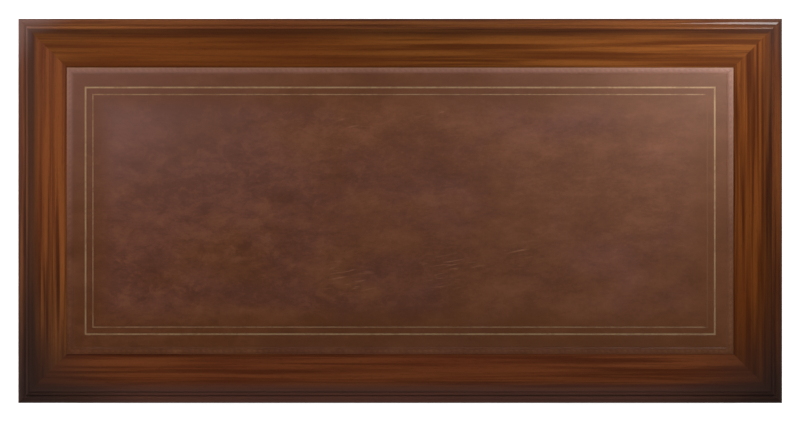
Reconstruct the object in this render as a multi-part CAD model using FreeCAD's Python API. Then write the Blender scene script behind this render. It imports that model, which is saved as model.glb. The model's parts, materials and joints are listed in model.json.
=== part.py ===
import FreeCAD, Part
import math
import os

# A pedestal partners desk with a leather-lined top, drawers and cupboards.
# The origin is on the floor under the middle of the top. X runs along the desk,
# -Y is the side with the pedestal drawers, +Y the side with the cupboards, +Z is up.
# Every length is in millimetres.

# The desk as a whole
TOP_LENGTH = 1830.0
TOP_DEPTH = 921.0
TOP_THICKNESS = 32.0
TOP_OVERHANG = 32.0
FRIEZE_HEIGHT = 134.0
PEDESTAL_HEIGHT = 512.0
PEDESTAL_WIDTH = 486.0
PLINTH_HEIGHT = 92.0

# The mitred border of the top and the mouldings on its edge, from the flat outwards
BORDER_WIDTH = 118.0
EDGE_MOULD_WIDTH = 28.0
QUIRK_DEPTH = 1.5
SMALL_BEAD_WIDTH = 8.0
SMALL_BEAD_FALL = 2.0
SMALL_BEAD_CROWN = 1.4
FILLET_WIDTH = 2.5
FILLET_DROP = 1.5
THUMB_FALL = 11.0
THUMB_CROWN = 4.2
EDGE_FLAT = 6.0
UNDER_FILLET = 2.0
COVE_WIDTH = 9.0
COVE_HOLLOW = 2.4

# The core panel inside the border, and the leather laid on it
CORE_THICKNESS = 20.0
CORE_TONGUE_LENGTH = 10.0
CORE_TONGUE_THICKNESS = 8.0
CORE_TONGUE_COVER = 6.0
LEATHER_THICKNESS = 1.4
LEATHER_RECESS = 1.6
LEATHER_CLEARANCE = 0.3

# Boards of the case
CASE_THICKNESS = 22.0
RAIL_THICKNESS = 18.0
RAIL_DEPTH = 60.0
RUNNER_WIDTH = 28.0
SPINE_THICKNESS = 20.0
DIVIDER_THICKNESS = 12.0
DUST_BOARD_THICKNESS = 8.0
DUST_GROOVE_DEPTH = 6.0
STOP_LENGTH = 40.0
STOP_DEPTH = 12.0
STOP_HEIGHT = 5.0
STOP_INSET = 60.0
STOP_CLEARANCE = 0.2

# Framed panels of the pedestal sides and doors
SIDE_STILE_WIDTH = 70.0
SIDE_MUNTIN_WIDTH = 60.0
SIDE_TOP_RAIL = 62.0
SIDE_BOTTOM_RAIL = 72.0
DOOR_STILE_WIDTH = 62.0
DOOR_TOP_RAIL = 62.0
DOOR_BOTTOM_RAIL = 72.0
PANEL_TONGUE_THICKNESS = 8.0
PANEL_GROOVE_DEPTH = 9.0
PANEL_SLACK = 0.5
FIELD_MARGIN = 30.0
FIELD_RISE = 3.6
FIELD_STEP = 1.6

# The plinth under each pedestal
PLINTH_PROJECTION = 12.0
PLINTH_THICKNESS = 30.0
PLINTH_MOULD_HEIGHT = 18.0
PLINTH_LEDGE = 2.5
PLINTH_OVOLO_RISE = 3.0
PLINTH_OVOLO_CROWN = 3.0
PLINTH_TOP_FILLET = 2.0
PLINTH_BLOCK = 36.0
PLINTH_BLOCK_FOOT = 10.0

# Drawers
UPPER_DRAWER_HEIGHT = 128.0
MIDDLE_DRAWER_HEIGHT = 146.0
DRAWER_ZONE_DEPTH = 500.0
DRAWER_GAP = 1.5
DRAWER_END_GAP = 8.0
RUN_CLEARANCE = 0.3
FRONT_THICKNESS = 22.0
DRAWER_SIDE_THICKNESS = 10.0
DRAWER_BACK_THICKNESS = 10.0
DRAWER_FLOOR_THICKNESS = 6.0
DRAWER_FLOOR_RISE = 8.0
DRAWER_GROOVE_DEPTH = 5.0
DRAWER_SIDE_DROP = 6.0
DRAWER_BACK_DROP = 10.0
LAP_TAIL_LENGTH = 12.0
TAIL_PITCH = 45.0
TAIL_WIDE_SHARE = 0.62
TAIL_TAPER_SHARE = 0.2
COCKBEAD_THICKNESS = 3.0
COCKBEAD_DEPTH = 8.0
COCKBEAD_PROJECTION = 2.2

# Brass pulls: a rosette and a post at each end, and a bail hung between the posts
PULL_CENTRES = 100.0
WIDE_PULL_SHARE = 0.25
PULL_STANDOFF = 16.0
ROSETTE_RADIUS = 17.0
ROSETTE_RIM = 1.2
ROSETTE_RING_RADIUS = 12.0
ROSETTE_RING_RISE = 2.6
ROSETTE_RING_FLAT = 1.5
ROSETTE_BOSS_RADIUS = 7.5
ROSETTE_THICKNESS = 4.0
ROSETTE_CROWN = 0.7
POST_HEAD_RADIUS = 6.0
POST_NECK_RADIUS = 3.6
SHANK_RADIUS = 2.5
SHANK_CLEARANCE = 0.2
SHANK_TIP = 1.0
NUT_RADIUS = 6.0
NUT_HEIGHT = 4.0
NUT_SIDES = 6
BAIL_RADIUS = 2.8
PIVOT_CLEARANCE = 0.08
BAIL_PIN_TIP = 4.0
BAIL_PIN_RUN = 10.0
BAIL_SHOULDER_RADIUS = 9.0
BAIL_LEG = 9.0
BAIL_FOOT_RADIUS = 14.0
BAIL_TURN_DEGREES = 75.0
GRIP_LENGTH = 30.0
GRIP_RADIUS = 4.2
GRIP_COLLAR_RADIUS = 3.4

# Cupboard doors: butt hinges at the outer end, a turning latch knob at the inner end
DOOR_GAP = 2.0
HINGE_HEIGHT = 64.0
HINGE_INSET = 75.0
LEAF_THICKNESS = 0.9
LEAF_DEPTH = 18.0
KNUCKLE_RADIUS = 3.2
KNUCKLE_STANDOFF = 3.6
KNUCKLE_GAP = 0.3
HINGE_PIN_RADIUS = 1.6
HINGE_PIN_CLEARANCE = 0.06
HINGE_CAP_HEIGHT = 2.0
SPINDLE_RADIUS = 4.0
SPINDLE_CLEARANCE = 0.1
KNOB_RADIUS = 11.0
KNOB_NECK_RADIUS = 5.0
KNOB_PROJECTION = 28.0
KNOB_CLEARANCE = 0.3
TONGUE_WIDTH = 12.0
TONGUE_REACH = 28.0
TONGUE_THICKNESS = 5.0
KEEPER_REACH = 14.0
KEEPER_THICKNESS = 8.0
KEEPER_HEIGHT = 40.0
KEEPER_CLEARANCE = 0.5

# Screws that hold the top down, and pegs between the pedestals and the frieze
SCREW_COUNT = 6
SCREW_RADIUS = 2.2
SCREW_HEAD_RADIUS = 4.5
SCREW_HEAD_HEIGHT = 3.0
SCREW_HEAD_SINK = 0.5
SCREW_LENGTH = 26.0
PEG_RADIUS = 5.0
PEG_LENGTH = 24.0
PEG_INSET = 50.0
PEG_END_GAP = 0.3
FASTENER_CLEARANCE = 0.15

# How far a cut runs past the face that it opens
OVERRUN = 1.0

# Planes that several pieces share
KNEEHOLE_HALF = TOP_LENGTH / 2 - TOP_OVERHANG - PEDESTAL_WIDTH
CASE_HALF_LENGTH = TOP_LENGTH / 2 - TOP_OVERHANG
CASE_HALF_DEPTH = TOP_DEPTH / 2 - TOP_OVERHANG
BAY_IN = KNEEHOLE_HALF + CASE_THICKNESS
BAY_OUT = CASE_HALF_LENGTH - CASE_THICKNESS
BAY_WIDTH = BAY_OUT - BAY_IN
PEDESTAL_MIDDLE = (BAY_IN + BAY_OUT) / 2
FRIEZE_BASE = PLINTH_HEIGHT + PEDESTAL_HEIGHT
TOP_BASE = FRIEZE_BASE + FRIEZE_HEIGHT
DESK_HEIGHT = TOP_BASE + TOP_THICKNESS
FRONT_FACE = -CASE_HALF_DEPTH
RAIL_BACK = FRONT_FACE + RAIL_DEPTH
SPINE_FACE = -SPINE_THICKNESS / 2
FRIEZE_OPENING = (FRIEZE_BASE + RAIL_THICKNESS, TOP_BASE - RAIL_THICKNESS)
PEDESTAL_OPENING = (PLINTH_HEIGHT + RAIL_THICKNESS, FRIEZE_BASE - RAIL_THICKNESS)
FRIEZE_ZONE_DEPTH = SPINE_FACE - FRONT_FACE
DIVIDER_FACE = FRONT_FACE + DRAWER_ZONE_DEPTH
FRIEZE_BAYS = {
    "left": (-BAY_OUT, -BAY_IN),
    "centre": (-KNEEHOLE_HALF, KNEEHOLE_HALF),
    "right": (BAY_IN, BAY_OUT),
}
HINGE_X = BAY_OUT - DOOR_GAP / 2
HINGE_Y = CASE_HALF_DEPTH + KNUCKLE_STANDOFF
LATCH_X = BAY_IN + DOOR_GAP + DOOR_STILE_WIDTH / 2
LATCH_Z = (PEDESTAL_OPENING[0] + PEDESTAL_OPENING[1]) / 2
TONGUE_FACE = CASE_THICKNESS + KEEPER_THICKNESS + 2 * KEEPER_CLEARANCE

ORIGIN = FreeCAD.Vector(0, 0, 0)
X_AXIS = FreeCAD.Vector(1, 0, 0)
Y_AXIS = FreeCAD.Vector(0, 1, 0)
Z_AXIS = FreeCAD.Vector(0, 0, 1)
QUARTER_TURN = 90
HALF_TURN = 180
FULL_TURN = 360


# Simple solids

def block(x_span, y_span, z_span):
    """A rectangular board between three pairs of planes."""
    spans = (x_span, y_span, z_span)
    low = FreeCAD.Vector(*(min(span) for span in spans))
    return Part.makeBox(*(abs(span[1] - span[0]) for span in spans), low)


def rod(start, travel, radius):
    """A round bar from a point along a vector."""
    return Part.makeCylinder(radius, travel.Length, start, travel)


def prism(corners, travel):
    """A flat outline of corner points pulled along a vector."""
    return Part.Face(Part.makePolygon(corners + corners[:1])).extrude(travel)


def bulged(start, end, crown):
    """An arc from start to end that stands off its chord by crown, on the left of the way."""
    run = (end[0] - start[0], end[1] - start[1])
    size = math.hypot(*run)
    middle = (
        (start[0] + end[0]) / 2 - run[1] / size * crown,
        (start[1] + end[1]) / 2 + run[0] / size * crown,
    )
    return middle, end


def profile_face(path, lift):
    """A flat face from a closed path of points and (middle, end) arcs, lifted into space."""
    here = lift(*path[0])
    edges = []
    for step in path[1:]:
        if isinstance(step[0], tuple):
            there = lift(*step[1])
            edges.append(Part.Arc(here, lift(*step[0]), there).toShape())
        else:
            there = lift(*step)
            edges.append(Part.LineSegment(here, there).toShape())
        here = there
    return Part.Face(Part.Wire(edges))


def turned(path):
    """A lathe-turned solid about the Y axis, from (radius, y) points and arcs."""
    face = profile_face(path, lambda radius, y: FreeCAD.Vector(radius, y, 0))
    return face.revolve(ORIGIN, Y_AXIS, FULL_TURN)


def placed(solids, turn, shift):
    """Copies of solids, turned about the upright axis and then shifted."""
    copies = [solid.copy() for solid in solids]
    for copy in copies:
        copy.rotate(ORIGIN, Z_AXIS, turn)
        copy.translate(shift)
    return copies


def mirrored(solids):
    """The same pieces for the other end of the desk."""
    return [solid.mirror(ORIGIN, X_AXIS) for solid in solids]


def both_sides(solids):
    """Pieces of the front half, with their copies turned round for the back half."""
    return solids + placed(solids, HALF_TURN, ORIGIN)


# Mitred frames and framed panels

def mitred_frame(path, length, depth, width, height):
    """Four moulded bars, front, right, back and left, mitred round a rectangle."""
    bars = []
    runs = (length, depth, length, depth)
    offsets = (depth / 2, length / 2, depth / 2, length / 2)
    for number, (run, offset) in enumerate(zip(runs, offsets)):
        end, edge = run / 2, -offset
        face = profile_face(path, lambda inward, z: FreeCAD.Vector(-end, edge + inward, z))
        corners = [
            FreeCAD.Vector(-end, edge, height[0]),
            FreeCAD.Vector(end, edge, height[0]),
            FreeCAD.Vector(end - width, edge + width, height[0]),
            FreeCAD.Vector(-end + width, edge + width, height[0]),
        ]
        wedge = prism(corners, Z_AXIS * (height[1] - height[0]))
        bar = face.extrude(X_AXIS * run).common(wedge)
        bars += placed(bar.Solids, QUARTER_TURN * number, ORIGIN)
    return bars


def rectangle(x_span, y, z_span):
    """A rectangular wire in an upright plane."""
    corners = [(0, 0), (1, 0), (1, 1), (0, 1), (0, 0)]
    return Part.makePolygon([FreeCAD.Vector(x_span[i], y, z_span[j]) for i, j in corners])


def grown(span, amount):
    """A span made longer at both ends, or shorter if the amount is negative."""
    return (span[0] - amount, span[1] + amount)


def fielded_panel(x_span, z_span, tongue):
    """A panel with a tongue all round, a bevelled margin and a raised field facing -Y."""
    reach = PANEL_GROOVE_DEPTH - PANEL_SLACK
    plate = block(grown(x_span, reach), tongue, grown(z_span, reach))
    bevel_face = tongue[0] - FIELD_RISE + FIELD_STEP
    field_x, field_z = grown(x_span, -FIELD_MARGIN), grown(z_span, -FIELD_MARGIN)
    base = rectangle(x_span, tongue[0], z_span)
    bevel = Part.makeLoft([base, rectangle(field_x, bevel_face, field_z)], True, True)
    field = block(field_x, (bevel_face - FIELD_STEP, bevel_face), field_z)
    return plate.fuse([bevel, field]).removeSplitter().Solids[0]


def framed_panel(width, height, stile, top_rail, bottom_rail, muntin):
    """Stiles, rails and panels, centred on X, with the face at Y 0 and the foot at Z 0."""
    middle, half_tongue = CASE_THICKNESS / 2, PANEL_TONGUE_THICKNESS / 2
    tongue = (middle - half_tongue, middle + half_tongue)
    thickness = (0, CASE_THICKNESS)
    uprights = [(-width / 2, -width / 2 + stile), (width / 2 - stile, width / 2)]
    if muntin:
        uprights.insert(1, (-muntin / 2, muntin / 2))
    bays = [(left[1], right[0]) for left, right in zip(uprights, uprights[1:])]
    sight = (bottom_rail, height - top_rail)
    grooves = [block(grown(bay, PANEL_GROOVE_DEPTH), tongue, grown((0, height), OVERRUN)) for bay in bays]
    solids = [block(upright, thickness, (0, height)).cut(grooves).Solids[0] for upright in uprights]
    for bay in bays:
        panel_groove = block(grown(bay, PANEL_GROOVE_DEPTH), tongue, grown(sight, PANEL_GROOVE_DEPTH))
        for rail_span in ((0, bottom_rail), (height - top_rail, height)):
            rail = block(bay, thickness, rail_span)
            tenons = block(grown(bay, PANEL_GROOVE_DEPTH), tongue, rail_span)
            solids.append(rail.fuse(tenons).cut(panel_groove).removeSplitter().Solids[0])
        solids.append(fielded_panel(bay, sight, tongue))
    return solids


# The top

def border_profile():
    """The border's section: inward distance from the outer edge, and height."""
    top = DESK_HEIGHT
    bead_top = (EDGE_MOULD_WIDTH, top - QUIRK_DEPTH)
    bead_foot = (EDGE_MOULD_WIDTH - SMALL_BEAD_WIDTH, bead_top[1] - SMALL_BEAD_FALL)
    fillet_height = bead_foot[1] - FILLET_DROP
    thumb_top = (bead_foot[0] - FILLET_WIDTH, fillet_height)
    thumb_foot = (0, fillet_height - THUMB_FALL)
    cove_top = (UNDER_FILLET, thumb_foot[1] - EDGE_FLAT)
    cove_foot = (UNDER_FILLET + COVE_WIDTH, TOP_BASE)
    tongue_top = top - LEATHER_RECESS - CORE_TONGUE_COVER
    groove = (tongue_top - CORE_TONGUE_THICKNESS, tongue_top)
    return [
        (BORDER_WIDTH, top),
        (EDGE_MOULD_WIDTH, top),
        bead_top,
        bulged(bead_top, bead_foot, -SMALL_BEAD_CROWN),
        (bead_foot[0], fillet_height),
        thumb_top,
        bulged(thumb_top, thumb_foot, -THUMB_CROWN),
        (0, cove_top[1]),
        cove_top,
        bulged(cove_top, cove_foot, COVE_HOLLOW),
        (BORDER_WIDTH, TOP_BASE),
        (BORDER_WIDTH, groove[0]),
        (BORDER_WIDTH - CORE_TONGUE_LENGTH, groove[0]),
        (BORDER_WIDTH - CORE_TONGUE_LENGTH, groove[1]),
        (BORDER_WIDTH, groove[1]),
        (BORDER_WIDTH, top),
    ]


def screw_places():
    """The (x, y) of the screws up through the front and back rails into the border."""
    step = 2 * BAY_OUT / SCREW_COUNT
    xs = [-BAY_OUT + step * (2 * number + 1) / 2 for number in range(SCREW_COUNT)]
    rail_middle = CASE_HALF_DEPTH - RAIL_DEPTH / 2
    return [(x, y) for y in (-rail_middle, rail_middle) for x in xs]


def screw_solid(x, y, clearance):
    """One screw, head down, or with a clearance the hole that takes it."""
    head_foot = TOP_BASE - RAIL_THICKNESS + SCREW_HEAD_SINK
    head = rod(FreeCAD.Vector(x, y, head_foot), Z_AXIS * SCREW_HEAD_HEIGHT, SCREW_HEAD_RADIUS + clearance)
    shank_foot = FreeCAD.Vector(x, y, head_foot + SCREW_HEAD_HEIGHT)
    shank = rod(shank_foot, Z_AXIS * (SCREW_LENGTH + clearance), SCREW_RADIUS + clearance)
    if not clearance:
        return head.fuse(shank).Solids[0]
    sink = rod(FreeCAD.Vector(x, y, head_foot - OVERRUN), Z_AXIS * OVERRUN, SCREW_HEAD_RADIUS + clearance)
    return head.fuse([shank, sink])


def top_border():
    """The four border bars by name, drilled for the screws."""
    bars = mitred_frame(border_profile(), TOP_LENGTH, TOP_DEPTH, BORDER_WIDTH, (TOP_BASE, DESK_HEIGHT))
    holes = [screw_solid(x, y, FASTENER_CLEARANCE) for x, y in screw_places()]
    names = ("front", "right", "back", "left")
    return {f"top_border_{name}": bar.cut(holes).Solids for name, bar in zip(names, bars)}


def core_panel():
    """The panel inside the border, tongued into it all round, that carries the leather."""
    half_x, half_y = TOP_LENGTH / 2 - BORDER_WIDTH, TOP_DEPTH / 2 - BORDER_WIDTH
    top = DESK_HEIGHT - LEATHER_RECESS
    tongue_top = top - CORE_TONGUE_COVER
    slab = block((-half_x, half_x), (-half_y, half_y), (top - CORE_THICKNESS, top))
    tongue = block(
        grown((-half_x, half_x), CORE_TONGUE_LENGTH),
        grown((-half_y, half_y), CORE_TONGUE_LENGTH),
        (tongue_top - CORE_TONGUE_THICKNESS, tongue_top),
    )
    return slab.fuse(tongue).removeSplitter().Solids


def writing_leather():
    """The sheet of leather laid in the recess that the border makes."""
    half_x = TOP_LENGTH / 2 - BORDER_WIDTH - LEATHER_CLEARANCE
    half_y = TOP_DEPTH / 2 - BORDER_WIDTH - LEATHER_CLEARANCE
    foot = DESK_HEIGHT - LEATHER_RECESS
    return [block((-half_x, half_x), (-half_y, half_y), (foot, foot + LEATHER_THICKNESS))]


# The frieze

def frieze_ends():
    """The boards that close the frieze at the two ends."""
    end = block((BAY_OUT, CASE_HALF_LENGTH), (-CASE_HALF_DEPTH, CASE_HALF_DEPTH), (FRIEZE_BASE, TOP_BASE))
    return [end] + mirrored([end])


def frieze_dust_boards():
    """Thin boards between the runners of the front half, under the drawers."""
    middle, half = FRIEZE_BASE + RAIL_THICKNESS / 2, DUST_BOARD_THICKNESS / 2
    depth = grown((RAIL_BACK, SPINE_FACE), DUST_GROOVE_DEPTH)
    inset = DUST_GROOVE_DEPTH - RUNNER_WIDTH
    return [block(grown(bay, inset), depth, (middle - half, middle + half)) for bay in FRIEZE_BAYS.values()]


def frieze_face_frame():
    """The long rails above and below the drawers, and the stiles between them."""
    dust_boards = both_sides(frieze_dust_boards())
    screw_holes = [screw_solid(x, y, FASTENER_CLEARANCE) for x, y in screw_places()]
    peg_holes = [peg_solid(x, y, FASTENER_CLEARANCE) for x, y in peg_places()]
    length, depth = (-BAY_OUT, BAY_OUT), (FRONT_FACE, RAIL_BACK)
    bottom = block(length, depth, (FRIEZE_BASE, FRIEZE_OPENING[0]))
    top = block(length, depth, (FRIEZE_OPENING[1], TOP_BASE))
    stile = block((KNEEHOLE_HALF, BAY_IN), (FRONT_FACE, FRONT_FACE + CASE_THICKNESS), FRIEZE_OPENING)
    pieces = both_sides([bottom, top, stile] + mirrored([stile]))
    return [piece.cut(dust_boards + screw_holes + peg_holes).Solids[0] for piece in pieces]


def drawer_stops(bay, face, level):
    """Two blocks on a rail that a drawer front shuts against."""
    depth = (face + FRONT_THICKNESS + STOP_CLEARANCE, face + FRONT_THICKNESS + STOP_CLEARANCE + STOP_DEPTH)
    starts = (bay[0] + STOP_INSET, bay[1] - STOP_INSET - STOP_LENGTH)
    return [block((start, start + STOP_LENGTH), depth, (level, level + STOP_HEIGHT)) for start in starts]


def frieze_inner_frame():
    """The spine, partitions, runners, kickers, drawer stops and dust boards."""
    dust_boards = frieze_dust_boards()
    length = (RAIL_BACK, SPINE_FACE)
    widths = [(BAY_OUT - RUNNER_WIDTH, BAY_OUT), (KNEEHOLE_HALF - RUNNER_WIDTH, BAY_IN + RUNNER_WIDTH)]
    runners = [block(width, length, (FRIEZE_BASE, FRIEZE_OPENING[0])) for width in widths]
    runners += mirrored(runners)
    kickers = [block(width, length, (FRIEZE_OPENING[1], TOP_BASE)) for width in widths]
    kickers += mirrored(kickers)
    partition = block((KNEEHOLE_HALF, BAY_IN), (FRONT_FACE + CASE_THICKNESS, SPINE_FACE), FRIEZE_OPENING)
    half = [runner.cut(dust_boards).Solids[0] for runner in runners]
    half += kickers + [partition] + mirrored([partition]) + dust_boards
    for bay in FRIEZE_BAYS.values():
        half += drawer_stops(bay, FRONT_FACE, FRIEZE_OPENING[0])
    spine = block((-BAY_OUT, BAY_OUT), (SPINE_FACE, -SPINE_FACE), (FRIEZE_BASE, TOP_BASE))
    return spine.cut(both_sides(dust_boards)).Solids + both_sides(half)


# The pedestals, made for the right-hand end and mirrored for the left

def peg_places():
    """The (x, y) of the pegs between each pedestal's top board and the frieze rails."""
    rail_middle = CASE_HALF_DEPTH - RAIL_DEPTH / 2
    xs = (BAY_IN + PEG_INSET, BAY_OUT - PEG_INSET)
    right = [(x, y) for x in xs for y in (-rail_middle, rail_middle)]
    return right + [(-x, y) for x, y in right]


def peg_solid(x, y, clearance):
    """One locating peg, or with a clearance the hole that takes it."""
    half = PEG_LENGTH / 2
    if clearance:
        half += PEG_END_GAP
    return rod(FreeCAD.Vector(x, y, FRIEZE_BASE - half), Z_AXIS * 2 * half, PEG_RADIUS + clearance)


def pedestal_sides():
    """The framed and panelled outer and inner sides of the right pedestal."""
    frame = framed_panel(
        2 * CASE_HALF_DEPTH, PEDESTAL_HEIGHT,
        SIDE_STILE_WIDTH, SIDE_TOP_RAIL, SIDE_BOTTOM_RAIL, SIDE_MUNTIN_WIDTH,
    )
    outer = placed(frame, QUARTER_TURN, FreeCAD.Vector(CASE_HALF_LENGTH, 0, PLINTH_HEIGHT))
    inner = placed(frame, -QUARTER_TURN, FreeCAD.Vector(KNEEHOLE_HALF, 0, PLINTH_HEIGHT))
    return outer + inner


def pedestal_drawer_spans():
    """The heights between which each pedestal drawer sits, by name."""
    top = PEDESTAL_OPENING[1]
    upper = (top - UPPER_DRAWER_HEIGHT, top)
    middle_top = upper[0] - RAIL_THICKNESS
    middle = (middle_top - MIDDLE_DRAWER_HEIGHT, middle_top)
    lower = (PEDESTAL_OPENING[0], middle[0] - RAIL_THICKNESS)
    return {"upper": upper, "middle": middle, "lower": lower}


def pedestal_frame():
    """Top and bottom boards, divider, drawer rails, runners, stops and latch keeper."""
    width, depth = (BAY_IN, BAY_OUT), (-CASE_HALF_DEPTH, CASE_HALF_DEPTH)
    peg_holes = [peg_solid(x, y, FASTENER_CLEARANCE) for x, y in peg_places()]
    solids = block(width, depth, (PEDESTAL_OPENING[1], FRIEZE_BASE)).cut(peg_holes).Solids
    solids.append(block(width, depth, (PLINTH_HEIGHT, PEDESTAL_OPENING[0])))
    solids.append(block(width, (DIVIDER_FACE, DIVIDER_FACE + DIVIDER_THICKNESS), PEDESTAL_OPENING))
    for foot, _ in pedestal_drawer_spans().values():
        solids += drawer_stops(width, FRONT_FACE, foot)
        if foot > PEDESTAL_OPENING[0]:
            level = (foot - RAIL_THICKNESS, foot)
            solids.append(block(width, (FRONT_FACE, RAIL_BACK), level))
            for edge in ((BAY_IN, BAY_IN + RUNNER_WIDTH), (BAY_OUT - RUNNER_WIDTH, BAY_OUT)):
                solids.append(block(edge, (RAIL_BACK, DIVIDER_FACE), level))
    keeper_back = CASE_HALF_DEPTH - CASE_THICKNESS - KEEPER_CLEARANCE
    keeper = block(
        (BAY_IN, BAY_IN + KEEPER_REACH),
        (keeper_back - KEEPER_THICKNESS, keeper_back),
        grown((LATCH_Z, LATCH_Z), KEEPER_HEIGHT / 2),
    )
    return solids + [keeper]


def plinth_profile():
    """The plinth's section: inward distance from its outer face, and height."""
    ledge = PLINTH_HEIGHT - PLINTH_MOULD_HEIGHT
    ovolo_foot = (PLINTH_LEDGE, ledge + PLINTH_OVOLO_RISE)
    ovolo_top = (PLINTH_PROJECTION, PLINTH_HEIGHT - PLINTH_TOP_FILLET)
    return [
        (0, 0),
        (0, ledge),
        (PLINTH_LEDGE, ledge),
        ovolo_foot,
        bulged(ovolo_foot, ovolo_top, PLINTH_OVOLO_CROWN),
        (PLINTH_PROJECTION, PLINTH_HEIGHT),
        (PLINTH_THICKNESS, PLINTH_HEIGHT),
        (PLINTH_THICKNESS, 0),
        (0, 0),
    ]


def plinth():
    """The right pedestal's plinth: four mitred boards and a glue block in each corner."""
    length = PEDESTAL_WIDTH + 2 * PLINTH_PROJECTION
    depth = 2 * (CASE_HALF_DEPTH + PLINTH_PROJECTION)
    solids = mitred_frame(plinth_profile(), length, depth, PLINTH_THICKNESS, (0, PLINTH_HEIGHT))
    corner_x, corner_y = length / 2 - PLINTH_THICKNESS, depth / 2 - PLINTH_THICKNESS
    corner_block = block(
        (corner_x - PLINTH_BLOCK, corner_x),
        (corner_y - PLINTH_BLOCK, corner_y),
        (PLINTH_BLOCK_FOOT, PLINTH_HEIGHT),
    )
    solids += both_sides([corner_block] + mirrored([corner_block]))
    return placed(solids, 0, X_AXIS * PEDESTAL_MIDDLE)


# Drawers, made with the opening's foot at Z 0, the case's face at Y 0 and the middle at X 0

def dovetails(x_span, z_span, shoulder, tip):
    """Tails that widen from the shoulder plane to the tip plane."""
    count = max(2, round((z_span[1] - z_span[0]) / TAIL_PITCH))
    pitch = (z_span[1] - z_span[0]) / count
    wide = pitch * TAIL_WIDE_SHARE / 2
    narrow = wide - abs(tip - shoulder) * TAIL_TAPER_SHARE
    tails = []
    for number in range(count):
        middle = z_span[0] + pitch * (2 * number + 1) / 2
        corners = [
            FreeCAD.Vector(x_span[0], shoulder, middle - narrow),
            FreeCAD.Vector(x_span[0], tip, middle - wide),
            FreeCAD.Vector(x_span[0], tip, middle + wide),
            FreeCAD.Vector(x_span[0], shoulder, middle + narrow),
        ]
        tails.append(prism(corners, X_AXIS * (x_span[1] - x_span[0])))
    return tails


def cockbeads(half, z_span):
    """Four mitred strips let into the edges of a drawer front, proud of its face."""
    outer = [(-half, z_span[0]), (half, z_span[0]), (half, z_span[1]), (-half, z_span[1])]
    inset = half - COCKBEAD_THICKNESS
    inset_z = grown(z_span, -COCKBEAD_THICKNESS)
    inner = [(-inset, inset_z[0]), (inset, inset_z[0]), (inset, inset_z[1]), (-inset, inset_z[1])]
    strips = []
    for number in range(len(outer)):
        after = (number + 1) % len(outer)
        ring = (outer[number], outer[after], inner[after], inner[number])
        corners = [FreeCAD.Vector(x, -COCKBEAD_PROJECTION, z) for x, z in ring]
        strips.append(prism(corners, Y_AXIS * (COCKBEAD_PROJECTION + COCKBEAD_DEPTH)))
    return strips


def drawer(width, height, depth, pulls):
    """A drawer for an opening: front, cockbeads, dovetailed sides and back, and floor."""
    half, length = width / 2 - DRAWER_GAP, depth - DRAWER_END_GAP
    inner = half - DRAWER_SIDE_THICKNESS
    front_z = (DRAWER_GAP, height - DRAWER_GAP)
    side_z = (RUN_CLEARANCE, height - DRAWER_SIDE_DROP)
    floor_foot = RUN_CLEARANCE + DRAWER_FLOOR_RISE
    floor_z = (floor_foot, floor_foot + DRAWER_FLOOR_THICKNESS)
    back_y = (length - DRAWER_BACK_THICKNESS, length)
    back_z = (floor_z[1], side_z[1] - DRAWER_BACK_DROP)

    groove_y = (FRONT_THICKNESS - DRAWER_GROOVE_DEPTH, FRONT_THICKNESS)
    floor_tongue = block((-inner, inner), groove_y, floor_z)
    floor = block(grown((-inner, inner), DRAWER_GROOVE_DEPTH), (FRONT_THICKNESS, length), floor_z)
    floor = floor.fuse(floor_tongue).removeSplitter()

    front = block((-half, half), (0, FRONT_THICKNESS), front_z)
    back = block((-half, half), back_y, back_z)
    sides = []
    lap_end = FRONT_THICKNESS - LAP_TAIL_LENGTH
    for end in (-1, 1):
        x_span = (end * inner, end * half)
        lap_tails = dovetails(x_span, (front_z[0], side_z[1]), FRONT_THICKNESS, lap_end)
        through_tails = dovetails(x_span, back_z, back_y[0], back_y[1])
        side = block(x_span, (FRONT_THICKNESS, length), side_z).cut(block(x_span, back_y, back_z))
        side = side.fuse(lap_tails + through_tails).cut(floor).removeSplitter()
        sides += side.Solids
        front = front.cut(lap_tails)
        back = back.cut(through_tails)

    beads = cockbeads(half, front_z)
    posts = [x + end * PULL_CENTRES / 2 for x in pulls for end in (-1, 1)]
    starts = [FreeCAD.Vector(x, -OVERRUN, height / 2) for x in posts]
    reach = Y_AXIS * (FRONT_THICKNESS + 2 * OVERRUN)
    holes = [rod(start, reach, SHANK_RADIUS + SHANK_CLEARANCE) for start in starts]
    front = front.cut(beads + holes + [floor_tongue])
    return front.Solids + beads + sides + back.Solids + floor.Solids


# Brass pulls, in the same frame as the drawers

def rosette(hole_radius):
    """A round stepped plate with a hole, lying on the face at Y 0."""
    rim = (ROSETTE_RADIUS, -ROSETTE_RIM)
    ring = (ROSETTE_RING_RADIUS, -ROSETTE_RING_RISE)
    ring_inside = (ROSETTE_RING_RADIUS - ROSETTE_RING_FLAT, -ROSETTE_RING_RISE)
    boss = (ROSETTE_BOSS_RADIUS, -ROSETTE_THICKNESS)
    return turned([
        (hole_radius, 0),
        (ROSETTE_RADIUS, 0),
        rim,
        bulged(rim, ring, ROSETTE_CROWN),
        ring_inside,
        bulged(ring_inside, boss, ROSETTE_CROWN),
        (hole_radius, -ROSETTE_THICKNESS),
        (hole_radius, 0),
    ])


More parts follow.
